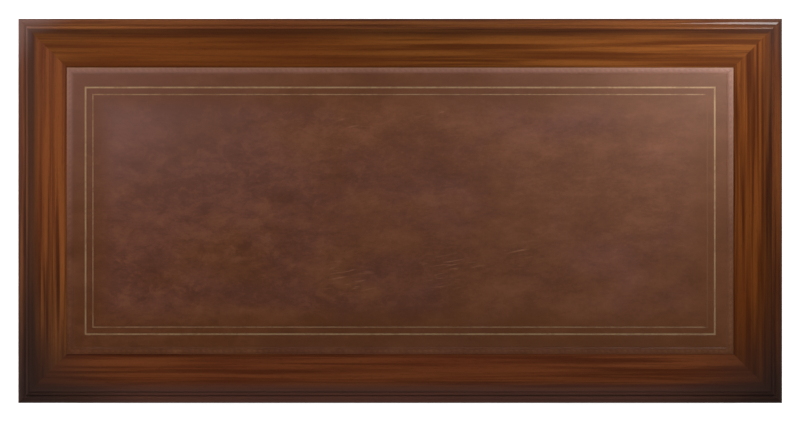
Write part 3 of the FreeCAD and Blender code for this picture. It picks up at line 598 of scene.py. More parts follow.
@dataclass(frozen=True)
class Hide:
    """Waxed brown hide, mottled and creased with use, paler where it was tooled along its edge; a painted
    sheen makes that band and the cut edge paler towards the back, and a painted haze greys the back-left.

    Each crease has a middle and a reach. The band, the oil and the rim are told by the distance from
    the hide's edge.
    """

    name: str = "waxed_hide"
    warm: Colour = tint(88, 49, 26)
    plum: Colour = tint(85, 48, 35)
    dark: Colour = tint(66, 34, 19)
    pale: Colour = tint(106, 64, 42)
    # worn paints the pale creases, and also a painted highlight along the hide's cut edge.
    worn: Colour = tint(126, 88, 66)
    # rolled: the tooled band rubbed pale, also used for a painted sheen that grows towards the back.
    rolled: Colour = tint(110, 74, 62)
    oiled: Colour = tint(76, 39, 6)
    # Colour of a painted haze of reflected light at the back-left of the hide.
    corner_haze_tint: Colour = tint(95, 67, 64)
    half_length: float = LEATHER_HALF[0]
    half_depth: float = LEATHER_HALF[1]
    patches: Triple = (4.5, 7.0, 7.0)
    patch_range: Pair = (0.36, 0.62)
    right_warmth: float = 0.10
    clouds: Mottle = Mottle((7.0, 14.0, 14.0), 6.0, 0.72, (0.30, 0.60), 0.56, (0.48, 0.74), 0.48)
    flecks: Mottle = Mottle((110.0, 190.0, 170.0), 3.0, 0.6, (0.28, 0.50), 0.20, (0.50, 0.75), 0.20)
    scuffs: Mottle = Mottle((24.0, 32.0, 32.0), 4.0, 0.65, (0.30, 0.50), 0.55, (0.50, 0.70), 0.55, 0.3)
    least_use: float = 0.3
    use_range: Pair = (-0.3, 0.6)
    pebble: Triple = (720.0, 720.0, 720.0)
    # Reach and share of the painted haze at the back-left of the hide.
    corner_haze_across: Pair = (0.1, 1.0)
    corner_haze_back: Pair = (-0.3, 0.8)
    corner_haze_share: float = 0.5
    creases: tuple[Triple, ...] = (
        (0.130, -0.145, 0.11), (-0.120, -0.160, 0.10), (0.075, 0.232, 0.05), (-0.11, 0.215, 0.05),
        (0.30, -0.10, 0.07),
    )
    crease_core: float = 0.25
    crease_squash: float = 3.0
    crease_slant: float = 0.16
    crease_pitch: Pair = (16.0, 150.0)
    crease_range: Pair = (0.56, 0.70)
    crease_share: float = 0.45
    band: float = 0.016
    oil_range: Pair = (0.066, 0.125)
    oil_start: Pair = (0.010, 0.020)
    oil_shares: Pair = (0.30, 0.20)
    rim_range: Pair = (0.002, 0.005)
    # The band and the cut edge get paler towards the back: a painted sheen of the light from behind.
    rub_level: float = 0.26
    band_sheen_lean: float = 0.68
    rub_mottle: Pair = (0.3, 0.7)
    rim_mottle: Pair = (0.1, 0.8)
    dullness: float = 0.42
    cloud_dulling: float = 0.16
    crease_shine: float = 0.10
    specular: float = 0.45
    relief: float = 0.00016
    fleck_relief: float = 0.5
    pebble_relief: float = 0.5
    crease_relief: float = 0.6

    def creased(self, shader: Shader, x: Field, y: Field) -> Field:
        """Makes fine pale creases that gather at a few places.

        Args:
            shader: The material's shader.
            x: The coordinate along the desk.
            y: The coordinate across it.

        Returns:
            The creases, 0 to 1.
        """
        gathered: Number = 0.0
        for middle_x, middle_y, reach in self.creases:
            along = (x - middle_x) * (x - middle_x)
            across = (y - middle_y) * (y - middle_y) * self.crease_squash
            away = shader.math("SQRT", along + across)
            gathered = gathered + (1.0 - away.rise(self.crease_core * reach, reach))
        slanted = (y - self.crease_slant * x) * self.crease_pitch[1]
        spot = shader.vector(x * self.crease_pitch[0], slanted, 0.0)
        return shader.noise(spot, roughness=0.6, distortion=0.5).rise(*self.crease_range) * gathered

    def material(self) -> bpy.types.Material:
        """Builds the material.

        Returns:
            The material.
        """
        material, shader = Shader.of_material(self.name)
        place = shader.place()
        x, y, _ = shader.parts(place)
        edge = (self.half_length - abs(x)).least(self.half_depth - abs(y))
        right = x / self.half_length
        left = 0.0 - right
        back = y / self.half_depth
        patches = shader.noise(shader.scaled(place, self.patches), detail=4.0, roughness=0.6, distortion=0.2)
        clouds = self.clouds.spread(shader, place)
        flecks = self.flecks.spread(shader, place)
        scuffs = self.scuffs.spread(shader, place)
        crease = self.creased(shader, x, y)
        faded = patches + self.right_warmth * right
        colour = shader.blend(faded.rise(*self.patch_range), self.plum, self.warm)
        colour = self.clouds.laid(shader, colour, clouds, self)
        colour = self.flecks.laid(shader, colour, flecks, self)
        used = self.least_use + (1.0 - self.least_use) * left.rise(*self.use_range)
        colour = self.scuffs.laid(shader, colour, scuffs, self, used)
        # Painted haze of reflected light, greying the back-left of the hide.
        corner_haze = left.rise(*self.corner_haze_across) * back.rise(*self.corner_haze_back)
        colour = shader.blend(corner_haze * self.corner_haze_share, colour, self.corner_haze_tint)
        colour = shader.blend(crease * self.crease_share, colour, self.worn)
        oil = self.oil_shares[0] + self.oil_shares[1] * edge.rise(*self.oil_start)
        colour = shader.blend((1.0 - edge.rise(*self.oil_range)) * oil, colour, self.oiled)
        # Painted sheen: the band, rubbed pale, is made paler towards the back, where the light comes from.
        lean = self.rub_level + self.band_sheen_lean * back
        rubbed = self.rub_mottle[0] + self.rub_mottle[1] * clouds
        rubbed = (1.0 - edge.rise(0.5 * self.band, self.band)) * rubbed * lean
        colour = shader.blend(rubbed, colour, self.rolled)
        # Painted highlight along the hide's cut edge, stronger towards the back.
        rim = self.rim_mottle[0] + self.rim_mottle[1] * flecks
        rim = (1.0 - edge.rise(*self.rim_range)) * rim * lean
        colour = shader.blend(rim, colour, self.worn)
        roughness = self.dullness + self.cloud_dulling * clouds - self.crease_shine * crease
        sockets = {"Base Color": colour, "Roughness": roughness, "Specular IOR Level": self.specular}
        pebble = shader.cells(shader.scaled(place, self.pebble))
        height = self.fleck_relief * flecks - self.pebble_relief * pebble + self.crease_relief * crease
        shader.surface(sockets, height, self.relief)
        return material


@dataclass(frozen=True)
class RolledHide(Hide):
    """The raised leaves of the blind roll, which dusting has rubbed pale."""

    name: str = "rolled_hide"
    warm: Colour = tint(95, 57, 33)
    plum: Colour = tint(93, 52, 38)
    dark: Colour = tint(74, 41, 27)
    pale: Colour = tint(112, 74, 53)
    rolled: Colour = tint(116, 80, 68)


@dataclass(frozen=True)
class GoldLeaf:
    """Gold leaf pressed into the hide, dull, worn through in places and gone beyond one end."""

    name: str = "gold_leaf"
    gold: Colour = tint(138, 111, 82)
    hide: Colour = tint(88, 54, 28)
    wear: float = 0.42
    wear_spread: float = 0.20
    left: float = 0.5
    worn_from: float = 1.0
    worn_over: float = 0.01
    long_wear: Triple = (14.0, 14.0, 14.0)
    short_wear: Triple = (110.0, 110.0, 110.0)
    wear_shares: Pair = (0.65, 0.45)
    cover: float = 0.85
    metal: float = 0.25
    dullness: float = 0.62
    shine: float = 0.14
    specular: float = 0.4
    relief: float = 0.00003

    def material(self) -> bpy.types.Material:
        """Builds the material.

        Returns:
            The material.
        """
        material, shader = Shader.of_material(self.name)
        place = shader.place()
        long_wear = shader.noise(shader.scaled(place, self.long_wear), detail=3.0, roughness=0.6)
        short_wear = shader.noise(shader.scaled(place, self.short_wear), detail=3.0, roughness=0.6)
        x = shader.parts(place)[0]
        kept = self.wear_shares[0] * long_wear + self.wear_shares[1] * short_wear
        kept = self.left + (1.0 - self.left) * kept.rise(self.wear, self.wear + self.wear_spread)
        kept = kept * (1.0 - x.rise(self.worn_from, self.worn_from + self.worn_over))
        colour = shader.blend(kept * self.cover, self.hide, self.gold)
        sockets = {"Base Color": colour, "Metallic": self.metal * kept,
                   "Roughness": self.dullness - self.shine * kept, "Specular IOR Level": self.specular}
        shader.surface(sockets, kept, self.relief)
        return material


@dataclass(frozen=True)
class ThinGoldLeaf(GoldLeaf):
    """The leaf of the inner line, which is worn nearly away."""

    name: str = "thin_gold_leaf"
    gold: Colour = tint(128, 101, 76)
    wear: float = 0.44
    left: float = 0.35
    worn_from: float = 0.722


@dataclass(frozen=True)
class Brass:
    """Cast brass, toned by age and brighter where hands have polished it."""

    name: str = "aged_brass"
    bright: Colour = tint(214, 176, 104)
    toned: Colour = tint(128, 92, 46)
    dirt: Colour = tint(58, 40, 24)
    age: Triple = (90.0, 90.0, 90.0)
    specks: Triple = (700.0, 700.0, 700.0)
    age_range: Pair = (0.34, 0.60)
    speck_range: Pair = (0.58, 0.74)
    dirt_share: float = 0.4
    gloss: float = 0.24
    dull_range: Pair = (0.3, 0.7)
    dulling: float = 0.3
    relief: float = 0.00006
    age_relief: float = 0.5
    speck_relief: float = 0.5

    def material(self) -> bpy.types.Material:
        """Builds the material.

        Returns:
            The material.
        """
        material, shader = Shader.of_material(self.name)
        place = shader.place()
        age = shader.noise(shader.scaled(place, self.age), detail=3.0, roughness=0.6)
        specks = shader.noise(shader.scaled(place, self.specks), roughness=0.6)
        colour = shader.blend(age.rise(*self.age_range), self.toned, self.bright)
        colour = shader.blend(specks.rise(*self.speck_range) * self.dirt_share, colour, self.dirt)
        dull = self.dulling * (1.0 - age) * specks.rise(*self.dull_range)
        sockets = {"Base Color": colour, "Metallic": 1.0, "Roughness": self.gloss + dull}
        shader.surface(sockets, self.age_relief * age + self.speck_relief * specks, self.relief)
        return material


@dataclass(frozen=True)
class Steel:
    """Plain steel, dulled by age, for the screws that hold the top."""

    name: str = "dull_steel"
    bright: Colour = tint(150, 148, 144)
    dull: Colour = tint(86, 82, 78)
    bloom: Triple = (400.0, 400.0, 400.0)
    bloom_range: Pair = (0.35, 0.65)
    metal: float = 0.9
    gloss: float = 0.38
    dulling: float = 0.2
    relief: float = 0.00005

    def material(self) -> bpy.types.Material:
        """Builds the material.

        Returns:
            The material.
        """
        material, shader = Shader.of_material(self.name)
        bloom = shader.noise(shader.scaled(shader.place(), self.bloom), detail=3.0, roughness=0.6)
        colour = shader.blend(bloom.rise(*self.bloom_range), self.dull, self.bright)
        sockets = {"Base Color": colour, "Metallic": self.metal,
                   "Roughness": self.gloss + self.dulling * bloom}
        shader.surface(sockets, bloom, self.relief)
        return material


class Wood(Enum):
    """The woods of the boards, in the order of a wooden piece's material slots."""

    SHOWN = 0
    LINING = 1
    ARRIS = 2


# Modelling helpers


def pick(*objects: bpy.types.Object) -> None:
    """Selects only these objects, and makes the first one active.

    Args:
        objects: The objects.
    """
    bpy.ops.object.select_all(action="DESELECT")
    for piece in objects:
        piece.select_set(True)
    bpy.context.view_layer.objects.active = objects[0]


@contextmanager
def editing(piece: bpy.types.Object, mode: str = "VERT") -> Iterator[None]:
    """Holds a piece in edit mode.

    Args:
        piece: The piece.
        mode: What is selected: VERT, EDGE or FACE.

    Yields:
        Nothing.
    """
    pick(piece)
    bpy.ops.object.mode_set(mode="EDIT")
    bpy.ops.mesh.select_mode(type=mode)
    yield
    bpy.ops.object.mode_set(mode="OBJECT")


def apply_modifier(piece: bpy.types.Object, kind: str, **settings: object) -> None:
    """Adds a modifier and applies it.

    Args:
        piece: The piece.
        kind: The modifier's type.
        settings: Its properties.
    """
    pick(piece)
    modifier = piece.modifiers.new(kind.lower(), kind)
    for key, value in settings.items():
        setattr(modifier, key, value)
    bpy.ops.object.modifier_apply(modifier=modifier.name)


def smooth(piece: bpy.types.Object, degrees: float) -> None:
    """Shades a piece smooth, apart from edges sharper than an angle."""
    pick(piece)
    bpy.ops.object.shade_smooth_by_angle(angle=math.radians(degrees))


def settle(piece: bpy.types.Object, name: str, body: str, slot: str, *nodes: str) -> bpy.types.Object:
    """Names a finished piece and sets it on its body.

    Args:
        piece: The piece.
        name: Its name.
        body: The CAD body that carries it.
        slot: The record's material slot; not used.
        nodes: The CAD nodes that it stands for.

    Returns:
        The piece.
    """
    piece.name = name
    piece.data.name = name
    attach(piece, body)
    if nodes:
        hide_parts(*nodes)
    LOG.info("%s on %s: %d faces", name, body, len(piece.data.polygons))
    return piece


# Woodwork


@dataclass
class Board:
    """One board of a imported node: its corners and its triangles."""

    points: np.ndarray
    triangles: np.ndarray

    @property
    def low(self) -> np.ndarray:
        """The lowest corner of its box."""
        return self.points.min(axis=0)

    @property
    def high(self) -> np.ndarray:
        """The highest corner of its box."""
        return self.points.max(axis=0)

    @property
    def reach(self) -> float:
        """How far it reaches from the middle of the desk, to the front or to the back."""
        return float(max(-self.low[1], self.high[1]))

    def axes(self, upright_share: float) -> list[int]:
        """Orders the axes: along the grain, across the board and through it.

        Args:
            upright_share: A standing board shorter than this many times its height has upright grain.

        Returns:
            The three axis numbers.
        """
        size = self.high - self.low
        order = [int(axis) for axis in np.argsort(-size)]
        if order[1] == 2 and size[order[0]] < upright_share * size[2]:
            order[0], order[1] = order[1], order[0]
        return order


def boards_of(node: bpy.types.Object) -> list[Board]:
    """Splits a node's loose triangles into its boards.

    Args:
        node: The CAD node.

    Returns:
        Its boards in the order of the source: each ends where its triangles close.
    """
    mesh = node.data
    points = np.empty(len(mesh.vertices) * 3, np.float32)
    mesh.vertices.foreach_get("co", points)
    corners = np.empty(len(mesh.loops), np.int32)
    mesh.loops.foreach_get("vertex_index", corners)
    points = points.reshape(-1, 3)
    _, first, welded = np.unique(np.round(points / WELD), axis=0, return_index=True, return_inverse=True)
    boards, members, open_edges = [], [], set()
    for triangle in welded.reshape(-1)[corners].reshape(-1, 3).tolist():
        if len(set(triangle)) < 3:
            continue
        members.append(triangle)
        for edge in zip(triangle, triangle[1:] + triangle[:1]):
            if edge[::-1] in open_edges:
                open_edges.remove(edge[::-1])
            else:
                open_edges.add(edge)
        if not open_edges:
            used, triangles = np.unique(np.array(members), return_inverse=True)
            boards.append(Board(points[first[used]], triangles.reshape(-1, 3)))
            members = []
    return boards


@dataclass
class Woodwork:
    """The boards of one wooden node, each with its own grain and softened arrises."""

    node: str
    materials: list[bpy.types.Material]
    arris: float = 0.0004
    shortest_arris: float = 0.006
    upright_share: float = 1.5
    flat_angle: float = 0.3
    sharp_angle: float = 40.0
    smooth_angle: float = 22.0
    arris_segments: int = 2
    grain_shift: float = 8.0

    def wood_of(self, board: Board) -> Wood:
        """Says which wood a board is of."""
        return Wood.SHOWN

    def grain_axes(self, board: Board) -> list[int]:
        """Says how the grain lies in a board: the axes along, across and through it."""
        return board.axes(self.upright_share)

    def build(self, nodes: dict[str, bpy.types.Object]) -> bpy.types.Object:
        """Copies the node's boards, softens them and sets them in its place.

        Args:
            nodes: The CAD nodes.

        Returns:
            The piece.
        """
        node = nodes[self.node]
        mesh = bpy.data.meshes.new(self.node)
        points, triangles, woods, grain = [], [], [], []
        draw = random.Random(self.node)
        start = 0
        for board in boards_of(node):
            points.append(board.points)
            triangles.append(board.triangles + start)
            woods.extend([self.wood_of(board).value] * len(board.triangles))
            shift = [draw.uniform(-self.grain_shift, self.grain_shift) for _ in range(3)]
            grain.append(board.points[:, self.grain_axes(board)] + np.array(shift))
            start += len(board.points)
        mesh.from_pydata(np.concatenate(points).tolist(), [], np.concatenate(triangles).tolist())
        for material in self.materials:
            mesh.materials.append(material)
        mesh.polygons.foreach_set("material_index", woods)
        attribute = mesh.attributes.new(GRAIN, "FLOAT_VECTOR", "POINT")
        attribute.data.foreach_set("vector", np.concatenate(grain).astype(np.float32).ravel())
        piece = bpy.data.objects.new(self.node, mesh)
        bpy.context.scene.collection.objects.link(piece)
        self.soften(piece)
        smooth(piece, self.smooth_angle)
        return settle(piece, f"{self.node}_boards", node["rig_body"], "mahogany", self.node)

    def soften(self, piece: bpy.types.Object) -> None:
        """Joins the triangles of flat faces, and bevels the long outer edges.

        Args:
            piece: The piece.
        """
        with editing(piece, "EDGE"):
            bpy.ops.mesh.select_all(action="SELECT")
            bpy.ops.mesh.dissolve_limited(angle_limit=math.radians(self.flat_angle))
            bpy.ops.mesh.select_all(action="DESELECT")
            if self.arris:
                self.select_arrises(piece)
                bpy.ops.mesh.bevel(offset=self.arris, segments=self.arris_segments, affect="EDGES",
                                   clamp_overlap=True, material=Wood.ARRIS.value)

    def select_arrises(self, piece: bpy.types.Object) -> None:
        """Selects the long sharp edges that stand out.

        Args:
            piece: The piece, in edit mode.
        """
        form = bmesh.from_edit_mesh(piece.data)
        for edge in form.edges:
            if len(edge.link_faces) == 2 and edge.calc_length() > self.shortest_arris:
                edge.select_set(edge.calc_face_angle_signed(0.0) > math.radians(self.sharp_angle))
        form.select_flush_mode()
        bmesh.update_edit_mesh(piece.data)


@dataclass
class FacedWork(Woodwork):
    """Woodwork that is of mahogany where it reaches the desk's face, and of oak behind that."""

    face: float = 0.428

    def wood_of(self, board: Board) -> Wood:
        """Tells the show wood by where the board reaches."""
        return Wood.SHOWN if board.reach > self.face else Wood.LINING


@dataclass
class Drawer(FacedWork):
    """A drawer: a mahogany front with cockbeads, and dovetailed sides, back and floor of oak."""

    arris: float = 0.0006
    face: float = 0.4235


@dataclass
class CaseFrame(FacedWork):
    """The inside of a pedestal or frieze, with oak behind its mahogany rails."""

    wide: float = 0.25

    def grain_axes(self, board: Board) -> list[int]:
        """Runs the grain of wide lying boards from side to side, as the case's joints need.

        Args:
            board: The board.

        Returns:
            The axes along, across and through it.
        """
        axes = super().grain_axes(board)
        lies_wide = axes[2] == 2 and board.high[0] - board.low[0] > self.wide
        return [0, 1, 2] if lies_wide else axes


@dataclass
class Plinths(Woodwork):
    """The two plinths: mitred and moulded boards, with glue blocks behind."""

    arris: float = 0.0
    block: float = 0.12

    def wood_of(self, board: Board) -> Wood:
        """Tells the glue blocks by their size."""
        return Wood.LINING if max(board.high - board.low) < self.block else Wood.SHOWN


# Leather top


@dataclass(frozen=True)
class Groove:
    """A line pressed into the hide, as a rectangle round the middle of the top."""

    half_length: float
    half_depth: float
    width: float
    lip: float = 0.0003

    def distances(self) -> list[float]:
        """The offsets of its four edges from its middle line, from outside to inside."""
        half = self.width / 2
        return [half + self.lip, half, -half, -half - self.lip]


@dataclass
class LeatherTop:
    """The tooled hide that is glued into the top, with its gilt lines and its blind roll."""

    hide: bpy.types.Material
    rolled: bpy.types.Material
    gold: tuple[bpy.types.Material, ...]
    half_length: float = LEATHER_HALF[0]
    half_depth: float = LEATHER_HALF[1]
    face: float = 0.7697
    thickness: float = 0.0012
    arris: float = 0.0003
    arris_angle: float = 70.0
    smooth_angle: float = 12.0
    press: float = 0.00022
    columns: int = 110
    rows: int = 48
    undulation: float = 0.00022
    undulation_size: float = 0.12
    gilding: float = 0.00008
    gilding_rise: float = 0.00005
    gilt: tuple[Groove, ...] = (Groove(0.7522, 0.2949, 0.0040), Groove(0.7346, 0.2781, 0.0026))
    blind: tuple[Groove, ...] = (Groove(0.7835, 0.3290, 0.0008), Groove(0.7807, 0.3262, 0.0010))
    leaf_corners: int = 14
    leaf_pitch: float = 0.0136
    leaf_length: float = 0.0092
    leaf_width: float = 0.0062
    leaf_height: float = 0.00018
    leaf_shoulder: float = 0.25
    leaf_thickness: float = 0.00006
    leaf_turn: float = 28.0
    leaf_inset: float = 0.0066

    def build(self) -> list[bpy.types.Object]:
        """Builds the hide and its tooling.

        Returns:
            The pieces.
        """
        hide = self.build_hide()
        tooling = [self.build_gilt(), self.build_roll()]
        2 * self.half_length
        2 * self.half_depth
        return [hide, *tooling]

    def build_hide(self) -> bpy.types.Object:
        """Cuts the hide, presses the tool lines into it and gives it its thickness.

        Returns:
            The hide.
        """
        bpy.ops.object.select_all(action="DESELECT")
        bpy.ops.mesh.primitive_grid_add(x_subdivisions=self.columns, y_subdivisions=self.rows, size=2.0)
        piece = bpy.context.object
        with editing(piece):
            bpy.ops.mesh.select_all(action="SELECT")
            scale = (self.half_length, self.half_depth, 1.0)
            bpy.ops.transform.resize(value=scale, center_override=MIDDLE)
            bpy.ops.transform.translate(value=(0.0, 0.0, self.face))
            for groove in (*self.gilt, *self.blind):
                self.cut_lines(groove)
        for groove in (*self.gilt, *self.blind):
            self.press_line(piece, groove)
        self.undulate(piece)
        apply_modifier(piece, "SOLIDIFY", thickness=self.thickness, offset=-1.0)
        apply_modifier(piece, "BEVEL", width=self.arris, segments=2, limit_method="ANGLE",
                       angle_limit=math.radians(self.arris_angle))
        smooth(piece, self.smooth_angle)
        piece.data.materials.append(self.hide)
        return settle(piece, "tooled_leather", CASE, "leather", "writing_leather")

    def cut_lines(self, groove: Groove) -> None:
        """Cuts the mesh along the edges of a groove, right across the hide.

        Args:
            groove: The groove.
        """
        for distance in groove.distances():
            for axis, half in ((0, groove.half_length), (1, groove.half_depth)):
                for way in (-1.0, 1.0):
                    spot, normal = [0.0, 0.0, self.face], [0.0, 0.0, 0.0]
                    spot[axis] = way * (half + distance)
                    normal[axis] = 1.0
                    bpy.ops.mesh.select_all(action="SELECT")
                    bpy.ops.mesh.bisect(plane_co=spot, plane_no=normal)

    def press_line(self, piece: bpy.types.Object, groove: Groove) -> None:
        """Presses the floor of a groove down.

        Args:
            piece: The hide.
            groove: The groove.
        """
        points = np.array([vertex.co for vertex in piece.data.vertices])
        beyond_end = np.abs(points[:, 0]) - groove.half_length
        beyond_side = np.abs(points[:, 1]) - groove.half_depth
        floor = np.abs(np.maximum(beyond_end, beyond_side)) <= groove.width / 2 + WELD
        with editing(piece):
            bpy.ops.mesh.select_all(action="DESELECT")
        piece.data.vertices.foreach_set("select", floor)
        with editing(piece):
            bpy.ops.transform.translate(value=(0.0, 0.0, -self.press))

    def undulate(self, piece: bpy.types.Object) -> None:
        """Lets the open field of the hide rise and fall a little, inside the inner line.

        Args:
            piece: The hide.
        """
        inner = self.gilt[1]
        field_group = piece.vertex_groups.new(name="field")
        for vertex in piece.data.vertices:
            inside = min(inner.half_length - abs(vertex.co.x), inner.half_depth - abs(vertex.co.y))
            if inside > inner.width:
                field_group.add([vertex.index], min(1.0, inside / self.undulation_size), "REPLACE")
        clouds = bpy.data.textures.new("hide_clouds", "CLOUDS")
        clouds.noise_scale = self.undulation_size
        clouds.noise_depth = 2
        apply_modifier(piece, "DISPLACE", texture=clouds, strength=self.undulation, mid_level=0.5,
                       direction="Z", vertex_group=field_group.name)

    def build_gilt(self) -> bpy.types.Object:
        """Lays the two lines of gold leaf in their grooves.

        Returns:
            The lines.
        """
        lines = []
        height = self.face - self.press + self.gilding + self.gilding_rise
        for groove, gold in zip(self.gilt, self.gold):
            bpy.ops.object.select_all(action="DESELECT")
            bpy.ops.mesh.primitive_plane_add(size=2.0)
            line = bpy.context.object
            half = groove.width / 2
            with editing(line, "FACE"):
                bpy.ops.mesh.select_all(action="SELECT")
                scale = (groove.half_length + half, groove.half_depth + half, 1.0)
                bpy.ops.transform.resize(value=scale, center_override=MIDDLE)
                bpy.ops.transform.translate(value=(0.0, 0.0, height))
                bpy.ops.mesh.inset(thickness=groove.width)
                bpy.ops.mesh.delete(type="FACE")
            apply_modifier(line, "SOLIDIFY", thickness=self.gilding, offset=-1.0)
            line.data.materials.append(gold)
            lines.append(line)
        pick(*lines)
        bpy.ops.object.join()
        return settle(lines[0], "gilt_lines", CASE, "leather")

    def build_leaf(self) -> bpy.types.Object:
        """Models one slanted leaf of the blind roll, in the middle of the top.

        Returns:
            The leaf.
        """
        bpy.ops.object.select_all(action="DESELECT")
        bpy.ops.mesh.primitive_circle_add(vertices=self.leaf_corners, radius=0.5, fill_type="NGON")
        leaf = bpy.context.object
        with editing(leaf, "FACE"):
            bpy.ops.mesh.select_all(action="SELECT")
            scale = (self.leaf_length, self.leaf_width, 1.0)
            bpy.ops.transform.resize(value=scale, center_override=MIDDLE)
            turn = math.radians(self.leaf_turn)
            bpy.ops.transform.rotate(value=turn, orient_axis="Z", center_override=MIDDLE)
            bpy.ops.mesh.inset(thickness=self.leaf_shoulder * self.leaf_width)
            bpy.ops.transform.translate(value=(0.0, 0.0, self.leaf_height))
        return leaf

    def build_roll(self) -> bpy.types.Object:
        """Repeats the leaf along the four sides of the hide.

        Returns:
            The roll.
        """
        seed = self.build_leaf()
        sides = []
        halves = (self.half_length, self.half_depth)
        for axis, half in enumerate(halves):
            across = halves[1 - axis]
            room = 2 * (half - self.leaf_inset)
            count = int(room / self.leaf_pitch)
            step = room / count
            for way in (-1.0, 1.0):
                side = seed.copy()
                side.data = seed.data.copy()
                bpy.context.scene.collection.objects.link(side)
                start = [0.0, 0.0, self.face]
                start[axis] = -half + self.leaf_inset + step / 2
                start[1 - axis] = way * (across - self.leaf_inset)
                offset = [0.0, 0.0, 0.0]
                offset[axis] = step
                with editing(side):
                    bpy.ops.mesh.select_all(action="SELECT")
                    if axis:
                        bpy.ops.transform.rotate(value=math.pi / 2, orient_axis="Z", center_override=MIDDLE)
                    bpy.ops.transform.translate(value=start)
                apply_modifier(side, "ARRAY", count=count, use_relative_offset=False,
                               use_constant_offset=True, constant_offset_displace=offset)
                sides.append(side)
        bpy.data.objects.remove(seed)
        pick(*sides)
        bpy.ops.object.join()
        apply_modifier(sides[0], "SOLIDIFY", thickness=self.leaf_thickness, offset=-1.0)
        sides[0].data.materials.append(self.rolled)
        return settle(sides[0], "blind_tooling", CASE, "leather")


# Metalwork


@dataclass
class Metalwork:
    """The brass pulls, hinges and latches and the hidden screws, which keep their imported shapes."""

    brass: bpy.types.Material
    steel: bpy.types.Material
    brass_endings: tuple[str, ...] = ("_pulls", "_bail", "_fittings", "_latch", "_hinges")
    steel_nodes: tuple[str, ...] = ("case_fasteners",)

    def dress(self, nodes: dict[str, bpy.types.Object]) -> None:
        """Gives each metal node its finish.

        Args:
            nodes: The CAD nodes.
        """
        for name, node in nodes.items():
            finish = None
            if name.endswith(self.brass_endings):
                finish = self.brass
            elif name in self.steel_nodes:
                finish = self.steel
            if finish:
                node.data.materials.clear()
                node.data.materials.append(finish)
                LOG.info("%s in %s", name, finish.name)


# Studio


@dataclass(frozen=True)
class Lamp:
    """A square soft box."""

    name: str
    place: Triple
    aim: Triple
    size: float
    power: float
    mirrored: bool = True

    def build(self) -> None:
        """Hangs the lamp."""
        data = bpy.data.lights.new(self.name, "AREA")
        data.shape = "SQUARE"
        data.size = self.size
        data.energy = self.power
        lamp = bpy.data.objects.new(self.name, data)
        bpy.context.scene.collection.objects.link(lamp)
        lamp.location = self.place
        lamp.visible_camera = False
        lamp.visible_glossy = self.mirrored
        lamp.rotation_euler = (Vector(self.aim) - Vector(self.place)).to_track_quat("-Z", "Y").to_euler()


